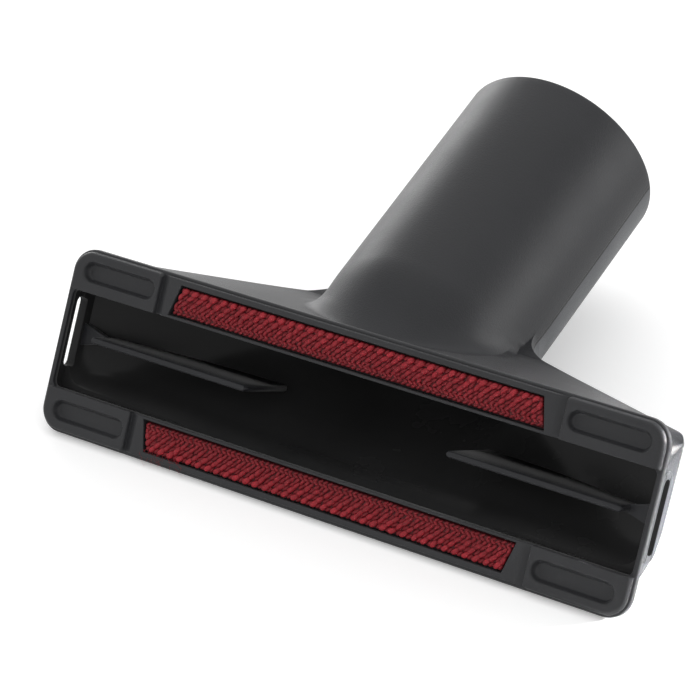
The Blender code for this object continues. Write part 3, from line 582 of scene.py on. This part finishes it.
def corner_shift(ax, av, half_length, half_width, radius):
    """Shift from a corner square to a quarter disc: p sqrt(1 - q q / 2) - p and its twin."""
    p = np.clip((ax - (half_length - radius)) / radius, 0, 1)
    q = np.clip((av - (half_width - radius)) / radius, 0, 1)
    return (p * np.sqrt(1 - q * q / 2) - p) * radius, (q * np.sqrt(1 - p * p / 2) - q) * radius


def pocket_share(av):
    """Share of the way across a pocket, from the slot's side to the rim's."""
    return np.clip((av - POCKET_LOW) / (POCKET_HIGH - POCKET_LOW), 0, 1)


def warp(x, v):
    """Bends grid places round the plate's corners, the slot's corners and the pocket ends."""
    ax, av = np.abs(x), np.abs(v)
    near_x, near_v = np.minimum(ax, SLOT_HALF_LENGTH), np.minimum(av, HALF_SLOT)
    fade = np.clip(1 - np.hypot(ax - near_x, av - near_v) / SLOT_FADE, 0, 1)
    plate_x, plate_v = corner_shift(ax, av, HALF_LENGTH, HALF_WIDTH, MOUTH_CORNER)
    slot_x, slot_v = corner_shift(near_x, near_v, SLOT_HALF_LENGTH, HALF_SLOT, SLOT_CORNER)
    lean = pocket_share(av) * (1 - np.clip((av - POCKET_HIGH - LEAN_REST) / LEAN_FADE, 0, 1))
    reach = np.interp(ax, [LEAN_START, POCKET_END, FRAME_END - LEAN_REST], [0, 1, 0])
    out_x = ax + plate_x + slot_x * fade - POCKET_SLANT * lean * reach
    return out_x * np.sign(x), (av + plate_v + slot_v * fade) * np.sign(v)


# %% Height field of the face
def face_height(x, v):
    """Front of the plate: the base, then pads, frames, dimples, pockets and rounded edges."""
    ax, av = np.abs(x), np.abs(v)
    plate = inside_box(ax, av, (HALF_LENGTH, HALF_WIDTH), MOUTH_CORNER)
    slot = -inside_box(ax, av, (SLOT_HALF_LENGTH, HALF_SLOT), SLOT_CORNER)
    pad_middle = (PAD_INNER + PAD_OUTER + PAST_PAD) / 2
    pad_box = inside_box(ax, av, (pad_middle - PAD_INNER, DEEP_SIDE), CORNER_ROUND,
                         (pad_middle, PAD_TOP - DEEP_SIDE))
    pad_plate = inside_box(ax, av, (PAD_OUTER, PAD_TOP), MOUTH_CORNER - PAD_INSET)
    over_slot = np.where(av < HALF_SLOT + 0.001 * MM, -1.0, 1.0)
    pad = rounded_step(np.minimum(pad_box, over_slot), EDGE) * rounded_step(pad_plate, RIM_ROUND)
    frame_box = inside_box(ax, av, (FRAME_END + PAST_FRAME, DEEP_SIDE), CORNER_ROUND,
                           (0, FRAME_TOP - DEEP_SIDE))
    frame_end = 1 - ease(ax, FRAME_END - FRAME_FADE, PAD_INNER)
    low_frame = rounded_step(frame_box, FRAME_ROUND) * frame_end
    height = PLATE_FRONT - EDGE * (1 - rounded_step(plate, EDGE))
    height = height + (0.0 - PLATE_FRONT) * pad + (FRAME_FRONT - PLATE_FRONT) * low_frame
    dimple = inside_box(ax, av, DIMPLE_HALF, DIMPLE_HALF[1], DIMPLE_PLACE)
    height = height - DIMPLE_DEPTH * ease(dimple, DIMPLE_START, DIMPLE_END)
    slant = POCKET_END - ax - POCKET_SLANT * pocket_share(av)
    pocket = np.minimum(np.minimum(av - POCKET_LOW, POCKET_HIGH - av), slant)
    pocket_edge = (1 - rounded_step(-pocket, POCKET_ROUND)) * (ax < FRAME_END)
    height = height - POCKET_ROUND * pocket_edge
    height = height - SLOT_EDGE * (1 - rounded_step(slot, SLOT_EDGE))
    return height + (POCKET_FLOOR - height) * np.clip(pocket / POCKET_SIDE, 0, 1)


# %% Build the plate
gx, gv = np.meshgrid(x_lines, v_lines, indexing="ij")
px, pv = warp(gx, gv)
face_points = np.stack([px, pv, face_height(px, pv)], -1).reshape(-1, 3)
face_quads = grid_faces(len(x_lines), len(v_lines))
middle = np.stack([gx, gv], -1).reshape(-1, 2)[face_quads].mean(axis=1)
open_quads = (np.abs(middle[:, 0]) < SLOT_HALF_LENGTH) & (np.abs(middle[:, 1]) < HALF_SLOT)
used, renumbered = np.unique(face_quads[~open_quads], return_inverse=True)
plate = make_mesh("nozzle_plate", face_points[used], renumbered.reshape(-1, 4))
edges = bmesh.new()
edges.from_mesh(plate.data)
rim_edges = [e for e in edges.edges if e.is_boundary]
walls = bmesh.ops.extrude_edge_only(edges, edges=rim_edges)["geom"]
outward = Vector(LAY_DOWN[:, 2])
base_level = outward.dot(Vector(lay_down(np.array([[0.0, 0.0, PLATE_BACK]]))[0]))
for corner in (g for g in walls if isinstance(g, bmesh.types.BMVert)):
    corner.co += outward * (base_level - outward.dot(corner.co))
bmesh.ops.triangle_fill(edges, edges=[e for e in edges.edges if e.is_boundary], use_beauty=True)
bmesh.ops.recalc_face_normals(edges, faces=edges.faces)
print("plate open edges", sum(e.is_boundary for e in edges.edges))
edges.to_mesh(plate.data)
edges.free()
plate.data.shade_smooth()
keep(plate.data, "finish", "INT", "FACE", np.full(len(plate.data.polygons), FACE_PLATE, np.int32))

# %% [markdown]
# ## Ribs and wedges inside
#
# Two thin ribs stand across the mouth and guide the air to its middle. A small wedge ties each
# one to the end wall behind the vent.

# %% Ribs and wedges
RIB_V, RIB_HALF, RIB_FRONT, RIB_STEPS = 0.8 * MM, 0.6 * MM, -2.4 * MM, 34
RIB_X, RIB_SHARES = np.array([21.5, 21.6, 21.9, 55.6, 55.9, 56.0]) * MM, [0.5, 0.8, 1, 1, 0.8, 0.5]
RIB_EDGE_V = np.array([-1, 1, 1, 0.86, 0.45, -0.45, -0.86, -1])
RIB_EDGE_N = np.array([0, 0, -0.40, -0.12, 0, 0, -0.12, -0.40]) * MM
WEDGE_LEVELS, WEDGE_ENDS = (-7.7 * MM, -6.2 * MM), ((54.8 * MM, 0.48 * MM), (61.4 * MM, 2.3 * MM))
WEDGE_FACES = [[0, 1, 3, 2], [4, 5, 7, 6], [0, 1, 5, 4], [2, 3, 7, 6], [0, 2, 6, 4], [1, 3, 7, 5]]


def rib(sign):
    """A bar along x with a rounded front edge, whose back follows the wall of the duct."""
    along = np.concatenate([RIB_X[:3:-1], np.linspace(RIB_X[3], RIB_X[2], RIB_STEPS), RIB_X[1::-1]])
    base = (LOW_LIP_S - WALL / 2 + (RIB_V - RIB_HALF + NECK_DROP) * COS_NECK) / SIN_NECK
    back = -np.minimum(back_depth(along) - WALL / 2, base)
    half = RIB_HALF * np.interp(along, RIB_X, RIB_SHARES)[:, None]
    rows = np.stack(np.broadcast_arrays(sign * along[:, None], RIB_V + half * RIB_EDGE_V,
                                        RIB_EDGE_N + RIB_FRONT + 0 * half), -1)
    rows[:, :2, 2] = back[:, None]
    caps = [row * 0 + row.mean(axis=1, keepdims=True) for row in (rows[:1], rows[-1:])]
    faces = grid_faces(len(along) + 2, len(RIB_EDGE_V), False, True)
    return face_outwards(make_mesh("rib", np.concatenate([caps[0], rows, caps[1]]), faces))


def wedge(sign):
    """A flat block that widens along x, from the rib to the end wall."""
    points = np.array([[sign * x, RIB_V + side * half, n] for n in WEDGE_LEVELS
                       for side in (-1, 1) for x, half in WEDGE_ENDS])
    piece = face_outwards(make_mesh("wedge", points, WEDGE_FACES))
    piece.data.shade_flat()
    return piece


inside_parts = [make(sign) for sign in (1, -1) for make in (rib, wedge)]

# %% Join the moulding
moulding, pieces = shell, [shell, plate, *inside_parts]
with bpy.context.temp_override(active_object=moulding, selected_editable_objects=pieces):
    bpy.ops.object.join()
moulding.name = "nozzle_moulding"
print("moulding faces", len(moulding.data.polygons))

# %% [markdown]
# ## The lint strips
#
# Each strip is a band of red pile fabric whose loops lie one way and catch lint. A loop here is
# an arch of thick soft yarn. The rows of loops lean along the strip in ridges, with a proud tuft
# at the outer end of each ridge and finer stitches beside the slot. The band under them is a
# knobbly grid, and short loose fibres stand out of it.

# %% Sizes of the fabric
STRIP_LOW, STRIP_HIGH, STRIP_END, STRIP_SLANT = 10.2 * MM, 15.5 * MM, 39.3 * MM, 1.5 * MM
STRIP_WIDTH, STRIP_MIDDLE = STRIP_HIGH - STRIP_LOW, (STRIP_LOW + STRIP_HIGH) / 2
STRIP_BOTTOM, STRIP_BASE, STRIP_ROUND = -1.7 * MM, -0.95 * MM, 0.45 * MM
KNOB_HEIGHT, KNOB_LENGTH, KNOB_WIDTH, KNOB_FADE = 0.08 * MM, 1.05 * MM, 0.9 * MM, 0.6 * MM
RIDGE, STITCH, RIDGE_LEAN, LOOP_BASE = 2.1 * MM, 1.05 * MM, 0.95, -0.14 * MM
# The loose fibres' level of painted light is set here, near that of the lit tips.
FIBRES, FRAYED, FIBRE_PAINTED_LIGHT, YARN_SIDES, ASIDE = 420, 26, 0.9, 7, np.array([0.31, 0.87, 0.38])
# Spread of the random shifts: places in mm, headings in radians, the others as shares.
SPREAD = {"place": 0.07, "across": 0.04, "turn": 0.10, "length": 0.07, "lift": 0.08, "thick": 0.06}


# %% Tubes of yarn
def tubes(paths, radii, sides):
    """Many round tubes at once: rings of points across each path, from arrays of places."""
    along = unit(np.gradient(paths, axis=1))
    aside = unit(np.cross(along, ASIDE))
    above = np.cross(along, aside)
    angle = np.arange(sides)[:, None] * 2 * math.pi / sides
    points = paths[:, :, None] + radii[:, :, None, None] * (
        np.cos(angle) * aside[:, :, None] + np.sin(angle) * above[:, :, None])
    one = grid_faces(paths.shape[1], sides, False, True)
    starts = np.arange(len(paths))[:, None, None] * paths.shape[1] * sides
    return points.reshape(-1, 3), (one[None] + starts).reshape(-1, 4)


def strip_end(v):
    """Half length of the strip at a height v: it shortens evenly towards the rim."""
    return STRIP_END - STRIP_SLANT * (np.abs(v) - STRIP_LOW) / STRIP_WIDTH


# %% Band, loops and fibres of one strip
def band(side):
    """The knobbly band under the loops: a closed grid with rounded rims, in mouth axes."""
    rows, columns = 26, 420
    along, across = np.meshgrid(np.linspace(-1, 1, columns), np.linspace(0, 1, rows), indexing="ij")
    v = STRIP_LOW + STRIP_WIDTH * across
    x = along * strip_end(v)
    rim = np.minimum((1 - np.abs(along)) * STRIP_END, np.minimum(across, 1 - across) * STRIP_WIDTH)
    knobs = (KNOB_HEIGHT * np.sin(2 * math.pi * (x - side * v) / KNOB_LENGTH)
             * np.sin(2 * math.pi * v / KNOB_WIDTH))
    top = STRIP_BOTTOM + (STRIP_BASE - STRIP_BOTTOM) * rounded_step(rim, STRIP_ROUND)
    top = top + knobs * ease(rim, 0, KNOB_FADE)
    upper = np.stack([x, v * side, top], -1)
    lower = upper * [1, 1, 0] + [0, 0, STRIP_BOTTOM]
    rim = np.concatenate([np.arange(rows), np.arange(1, columns) * rows + rows - 1,
                          columns * rows - 2 - np.arange(rows - 1),
                          np.arange(columns - 2, 0, -1) * rows])
    after, under = np.roll(rim, -1), rows * columns
    quads = grid_faces(columns, rows)
    walls = np.stack([rim, after, after + under, rim + under], -1)
    # The band gets painted light 0, the darkest red: painted shade under the loops.
    return (np.concatenate([upper.reshape(-1, 3), lower.reshape(-1, 3)]),
            np.concatenate([quads, quads[:, ::-1] + under, walls]), np.zeros(2 * under))


def loops(side, chance, across, pitch, shift, heading, length, thick, lift):
    """A row of yarn arches along the strip, at one share of its width.

    Each arch lies along its heading, h high and l long: height h sqrt(1 - u u), place u l / 2,
    for u from -1 to 1. The row starts where the slanting ridges put it, plus its own shift.
    """
    number = int(2 * STRIP_END / pitch) + 4

    def spread(kind):
        """Random shifts of one kind, one for each loop."""
        return chance.normal(0, SPREAD[kind], (number, 1))

    v = STRIP_LOW + STRIP_WIDTH * across + spread("across") * MM
    centre = (np.arange(number)[:, None] - number / 2 + shift) * pitch
    centre = centre + side * RIDGE_LEAN * (v - STRIP_MIDDLE) + spread("place") * MM
    turned = heading + spread("turn")
    half = 0.5 * length * MM * (1 + spread("length"))
    u = np.linspace(-1, 1, 11)
    arch = np.sqrt(np.clip(1 - u ** 2, 0, 1))
    x, w = centre + np.cos(turned) * half * u, v + side * np.sin(turned) * half * u
    n = STRIP_BASE + LOOP_BASE + lift * MM * arch * (1 + spread("lift"))
    radius = 0.5 * thick * MM * (0.62 + 0.38 * arch) * (1 + spread("thick"))
    w = np.clip(w, STRIP_LOW + radius, STRIP_HIGH - radius)
    room = strip_end(w) - radius
    x = np.clip(x, -room, room)
    fits = (np.abs(centre) < strip_end(v) + 0.3 * MM)[:, 0]
    points, faces = tubes(np.stack([x, w * side, n], -1)[fits], radius[fits], YARN_SIDES)
    # Higher rows and arch tops get more painted light, with some random spread: painted shade low
    # down, painted highlight on the tips.
    depth = np.clip(0.35 + 1.3 * lift, 0.0, 1.0) * chance.uniform(0.8, 1.0, (number, 1))
    painted_pile_light = np.repeat((arch * depth)[fits].ravel(), YARN_SIDES)
    return points, faces, painted_pile_light


def hairs(side, chance, count, x_range, v_range, length, heading, base):
    """Thin bent fibres: places that bow upwards and taper to a point."""
    u, column = np.linspace(0, 1, 6), (count, 1)
    x, v = chance.uniform(*x_range, column), chance.uniform(*v_range, column)
    turned = heading + chance.normal(0, 0.6, column)
    reach = chance.uniform(*length, column)
    bow = chance.normal(0, 0.25, column)
    path = np.stack([x + reach * (np.cos(turned) * u + bow * np.sin(math.pi * u)),
                     (v + reach * np.sin(turned) * u) * side,
                     base + chance.uniform(0.1, 0.45, column) * MM * np.sin(2.4 * u)], -1)
    points, faces = tubes(path, (0.03 - 0.018 * u) * MM + 0 * x, 3)
    # Loose fibres stand out and get nearly the full painted light.
    return points, faces, np.full(len(points), FIBRE_PAINTED_LIGHT)


# %% The two strips
def fabric_strip(name, side, seed):
    """One closed mesh of the band and its yarn, with painted light: 0 in shade deep down, 1 on the
    tips.
    """
    chance = np.random.default_rng(seed)
    parts = [band(side)] + [loops(side, chance, *row) for row in PILE]
    inner_x, inner_v = STRIP_END - 2.4 * MM, (STRIP_LOW + 0.5 * MM, STRIP_HIGH - 0.5 * MM)
    parts.append(hairs(side, chance, FIBRES, (-inner_x, inner_x), inner_v, (0.3 * MM, 0.9 * MM),
                       0.8 * side, STRIP_BASE + 0.4 * MM))
    if side < 0:
        parts.append(hairs(side, chance, FRAYED, (-39 * MM, -30 * MM), (15.0 * MM, 15.4 * MM),
                           (1.4 * MM, 3.2 * MM), 1.4, STRIP_BASE + 0.35 * MM))
    starts = np.cumsum([0] + [len(p[0]) for p in parts])
    piece = make_mesh(name, np.concatenate([p[0] for p in parts]),
                      np.concatenate([p[1] + start for p, start in zip(parts, starts)]))
    keep(piece.data, "painted_pile_light", "FLOAT", "POINT", np.concatenate([p[2] for p in parts]))
    print(name, "faces", len(piece.data.polygons))
    return face_outwards(piece)


# Rows of loops: across, pitch, shift, heading, length, thickness, lift
PILE = [(0.88, RIDGE, 0.0, 0.80, 1.60, 1.05, 0.50), (0.90, RIDGE, 0.5, 0.80, 1.20, 0.75, 0.20),
        (0.68, RIDGE, 0.0, 0.80, 1.80, 0.95, 0.40), (0.68, RIDGE, 0.5, 0.80, 1.50, 0.75, 0.17),
        (0.48, RIDGE, 0.0, 0.80, 1.70, 0.88, 0.33), (0.48, RIDGE, 0.5, 0.80, 1.40, 0.70, 0.17),
        (0.32, STITCH, 0.0, 0.90, 1.20, 0.66, 0.26), (0.19, STITCH, 0.0, -0.5, 1.05, 0.58, 0.22),
        (0.09, STITCH, 0.3, 0.60, 0.95, 0.52, 0.18)]
upper_strip = fabric_strip("upper_pile_strip", 1, 11)
lower_strip = fabric_strip("lower_pile_strip", -1, 23)
for piece in (moulding, upper_strip, lower_strip):
    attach(piece, "root")
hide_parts("nozzle_body")
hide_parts("upper_lint_strip")
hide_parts("lower_lint_strip")

# %% [markdown]
# ## Finishes
#
# The moulding is charcoal plastic from a finely grained tool: matt, with a soft sheen at
# grazing angles. Below the parting line and on the end walls its skin is painted paler, a painted
# reflection of the bright surroundings, and the plate of the mouth is a little paler as well. The
# air duct was left smooth. The pile is dyed crimson, with painted shade deep between its loops
# and painted highlights on its tips.

# %% Node helpers
def new_material(name):
    """A material, its node tree and its Principled shader."""
    material = bpy.data.materials.new(name)
    material.use_nodes = True
    return material, material.node_tree, material.node_tree.nodes["Principled BSDF"]


def plug(tree, socket, value):
    """Sets a number or colour on a socket, or links another node's output to it."""
    if isinstance(value, bpy.types.NodeSocket):
        tree.links.new(value, socket)
    else:
        socket.default_value = value


def feed(tree, node, **inputs):
    """Plugs a node's inputs by name."""
    for name, value in inputs.items():
        plug(tree, node.inputs[name.replace("_", " ")], value)


def add(tree, kind, **inputs):
    """A new node of a kind with its inputs."""
    node = tree.nodes.new("ShaderNode" + kind)
    feed(tree, node, **inputs)
    return node


def maths(tree, operation, *values):
    """The output of a Math node; each value is a number or another node's output."""
    node = tree.nodes.new("ShaderNodeMath")
    node.operation = operation
    for socket, value in zip(node.inputs, values):
        plug(tree, socket, value)
    return node.outputs[0]


def remap(tree, source, start, end, low=0.0, high=1.0):
    """A value that goes from low to high while the source goes from start to end."""
    return add(tree, "MapRange", Value=source, From_Min=start, From_Max=end, To_Min=low,
               To_Max=high).outputs["Result"]


def blend(tree, mask, first, second, mode="MIX"):
    """A colour mixed from two by a mask."""
    node = tree.nodes.new("ShaderNodeMix")
    node.data_type, node.blend_type = "RGBA", mode
    feed(tree, node, Factor=mask, A=first, B=second)
    return node.outputs["Result"]


def ramp(tree, source, stops):
    """A colour ramp from stops of (position, colour), fed by a socket."""
    node = add(tree, "ValToRGB", Fac=source)
    while len(node.color_ramp.elements) < len(stops):
        node.color_ramp.elements.new(0.5)
    for element, (position, colour) in zip(node.color_ramp.elements, stops):
        element.position, element.color = position, (*colour, 1.0)
    return node.outputs["Color"]


def mark(tree, name):
    """The value of one of the mesh's own attributes."""
    node = tree.nodes.new("ShaderNodeAttribute")
    node.attribute_name = name
    return node.outputs["Fac"]


# %% Moulded grain
def grain_group():
    """Moulded grain as a mask: fine rounded pits over a slow random drift from dark to light."""
    group = bpy.data.node_groups.new("moulded_grain", "ShaderNodeTree")
    group.interface.new_socket("Position", in_out="INPUT", socket_type="NodeSocketVector")
    for name in ("Grain", "Drift"):
        group.interface.new_socket(name, in_out="OUTPUT", socket_type="NodeSocketFloat")
    place = group.nodes.new("NodeGroupInput").outputs["Position"]
    pits = add(group, "TexVoronoi", Vector=place, Scale=2600.0, Randomness=0.95)
    fine = add(group, "TexNoise", Vector=place, Scale=5200.0, Detail=3.0, Roughness=0.6)
    slow = add(group, "TexNoise", Vector=place, Scale=55.0, Detail=4.0, Roughness=0.55)
    grain = maths(group, "MULTIPLY_ADD", pits.outputs["Distance"], 0.55, fine.outputs["Fac"])
    feed(group, group.nodes.new("NodeGroupOutput"), Grain=grain, Drift=slow.outputs["Fac"])
    return group


GRAIN = grain_group()


# %% Charcoal plastic, outside and inside
LINE_START, LINE_END, LINE_BLUR = 0.75 * MM, 1.35 * MM, 0.08 * MM
LINE_COLOUR, LINE_GROOVE = (0.001, 0.001, 0.0012, 1.0), -4.0


def plastic(name, dark, light, gloss=(0.40, 0.50), bump=0.00003, specular=0.33, sheen=0.12,
            below=None):
    """Grained plastic that drifts from dark to light, its roughness along with it.

    With a second colour, a dark groove runs below the side line, and that colour after it: a paler
    skin that is painted reflection.
    """
    material, tree, shader = new_material(name)
    grain = tree.nodes.new("ShaderNodeGroup")
    grain.node_tree = GRAIN
    feed(tree, grain, Position=tree.nodes.new("ShaderNodeTexCoord").outputs["Object"])
    height, drift = grain.outputs["Grain"], grain.outputs["Drift"]
    colour = ramp(tree, drift, [(0.3, dark), (0.7, light)])
    if below is not None:
        depth = mark(tree, "below_side")
        # Beyond the line the colour turns paler: painted reflection of the bright surroundings.
        after = remap(tree, depth, LINE_END, LINE_END + LINE_BLUR)
        line = maths(tree, "MULTIPLY", remap(tree, depth, LINE_START, LINE_START + LINE_BLUR),
                     remap(tree, depth, LINE_END, LINE_END - LINE_BLUR))
        colour = blend(tree, after, colour, (*below, 1.0))
        colour = blend(tree, line, colour, LINE_COLOUR)
        height = maths(tree, "MULTIPLY_ADD", line, LINE_GROOVE, height)
    bumps = add(tree, "Bump", Strength=1.0, Distance=bump, Height=height)
    feed(tree, shader, Base_Color=colour, Roughness=remap(tree, drift, 0.3, 0.75, *gloss),
         Normal=bumps.outputs["Normal"], IOR=1.5, Specular_IOR_Level=specular, Sheen_Weight=sheen,
         Sheen_Roughness=0.30)
    return material


# In the order of the finish numbers
for material in (
        # The paler colour below the parting line is painted reflection.
        plastic("charcoal_plastic", (0.0085, 0.009, 0.011), (0.0135, 0.014, 0.0165),
                below=(0.053, 0.056, 0.061)),
        plastic("duct_plastic", (0.020, 0.020, 0.0203), (0.025, 0.025, 0.0253), (0.22, 0.30),
                0.000004, 0.10, 0.0),
        # The pale skin of the end walls and vent frames is painted reflection.
        plastic("painted_pale_skin", (0.048, 0.051, 0.056), (0.058, 0.061, 0.066)),
        plastic("face_plate", (0.0165, 0.0170, 0.0190), (0.0225, 0.0230, 0.0250), (0.42, 0.52))):
    moulding.data.materials.append(material)
finish = np.empty(len(moulding.data.polygons), np.int32)
moulding.data.attributes["finish"].data.foreach_get("value", finish)
moulding.data.polygons.foreach_set("material_index", finish)
print("faces of each finish", np.bincount(finish))


# %% Red pile
# Reds of the painted shade and highlight: darkest deep down, middle, palest on the tips.
SHADED_RED, MIDDLE_RED, LIT_TIP_RED = (0.085, 0.002, 0.004), (0.20, 0.003, 0.009), (0.40, 0.012, 0.024)


def pile_material():
    """Crimson yarn: streaky along its fibres, painted shade deep down and painted highlights on the
    tips, with a soft velvety sheen.
    """
    material, tree, shader = new_material("red_pile_fabric")
    place = tree.nodes.new("ShaderNodeTexCoord").outputs["Object"]
    streak = add(tree, "TexNoise", Vector=place, Scale=4200.0, Detail=2.0,
                 Roughness=0.6).outputs["Fac"]
    # The colour follows the painted light: painted shade deep down, painted highlights on the tips.
    colour = ramp(tree, mark(tree, "painted_pile_light"), [(0.0, SHADED_RED), (0.5, MIDDLE_RED), (1.0, LIT_TIP_RED)])
    fleck = ramp(tree, streak, [(0.35, (0.55, 0.50, 0.50)), (0.62, (1.0, 1.0, 1.0))])
    bumps = add(tree, "Bump", Strength=0.6, Distance=0.00005, Height=streak)
    feed(tree, shader, Base_Color=blend(tree, 1.0, colour, fleck, "MULTIPLY"), Roughness=0.55,
         Normal=bumps.outputs["Normal"], Sheen_Weight=0.12, Sheen_Tint=(1.0, 0.25, 0.3, 1.0),
         Specular_IOR_Level=0.35)
    return material


red_pile = pile_material()
for strip in (upper_strip, lower_strip):
    strip.data.materials.append(red_pile)

# %% [markdown]
# ## Floor, light and camera
#
# A plain white floor keeps the soft shadow of the nozzle; a little glow that only the camera
# sees brings it up to white. A large weak lamp hangs above, small ones stand behind the nozzle
# on either side and draw the soft streak on the neck, and a narrow beam picks out the right
# end wall. The camera looks at the mouth from its right with a long lens.

# %% Floor and world
FLOOR_HALF, FLOOR_GLOW, WHITE = 3, 0.20, (1.0, 1.0, 1.0, 1.0)
floor_mesh = bpy.data.meshes.new("floor")
floor_corners = FLOOR_HALF * np.array([(-1, -1, 0), (1, -1, 0), (1, 1, 0), (-1, 1, 0)])
floor_mesh.from_pydata(floor_corners, [], [(0, 1, 2, 3)])
floor = show("floor", floor_mesh)
paper, tree, shader = new_material("white_floor")
from_camera = tree.nodes.new("ShaderNodeLightPath").outputs["Is Camera Ray"]
feed(tree, shader, Base_Color=(0.92, 0.92, 0.92, 1.0), Roughness=0.9, Specular_IOR_Level=0.1,
     Emission_Color=WHITE, Emission_Strength=maths(tree, "MULTIPLY", from_camera, FLOOR_GLOW))
floor_mesh.materials.append(paper)

world = bpy.data.worlds.new("studio")
bpy.context.scene.world = world
world.use_nodes = True
tree = world.node_tree
rays = tree.nodes.new("ShaderNodeLightPath").outputs
seen = maths(tree, "ADD", rays["Is Camera Ray"], rays["Is Glossy Ray"])
feed(tree, tree.nodes["Background"], Color=WHITE, Strength=remap(tree, seen, 0.0, 1.0, 0.9, 1.0))


# %% Lights
def soft_light(name, place, target, size, power):
    """A square area light that faces the target."""
    data = bpy.data.lights.new(name, "AREA")
    data.shape, data.size, data.energy = "SQUARE", size, power
    lamp = show(name, data)
    lamp.location = place
    lamp.rotation_euler = (Vector(target) - Vector(place)).to_track_quat("-Z", "Y").to_euler()
    return lamp


soft_light("key_light", (-0.1, 0.35, 1.0), (0, 0, 0.02), 1.2, 2.0)
soft_light("left_light", (-0.55, 0.40, 0.10), (0, 0.01, 0.03), 0.3, 1.2)
soft_light("right_light", (0.45, 0.28, 0.10), (0.02, 0.02, 0.02), 0.3, 0.9)
end_lamp = soft_light("end_light", (0.45, 0.24, 0.10), (0.068, -0.042, 0.012), 0.05, 0.05)
end_lamp.data.spread = math.radians(8)

# %% Camera
# Place, line of sight and upward direction in the axes of the mouth, and the lens in mm
EYE = np.array([[262.2, 77.4, 477.9]]) * MM
GAZE, UPWARD = np.array([-0.47863, -0.11619, -0.87029]), np.array([-0.2575, 0.96619, 0.01262])
LENS, SENSOR = 159.69, 36.0
eye, gaze = lay_down(EYE)[0], unit(LAY_DOWN @ GAZE)
across = unit(np.cross(gaze, LAY_DOWN @ UPWARD))
upward = np.cross(across, gaze)
camera_data = bpy.data.cameras.new("camera")
camera_data.lens, camera_data.sensor_width = LENS, SENSOR
camera = show("camera", camera_data)
turn = np.stack([across, upward, -gaze], -1)
camera.matrix_world = Matrix.Translation(Vector(eye)) @ Matrix(turn.tolist()).to_4x4()
bpy.context.scene.camera = camera
bpy.context.scene.view_settings.view_transform = "Standard"
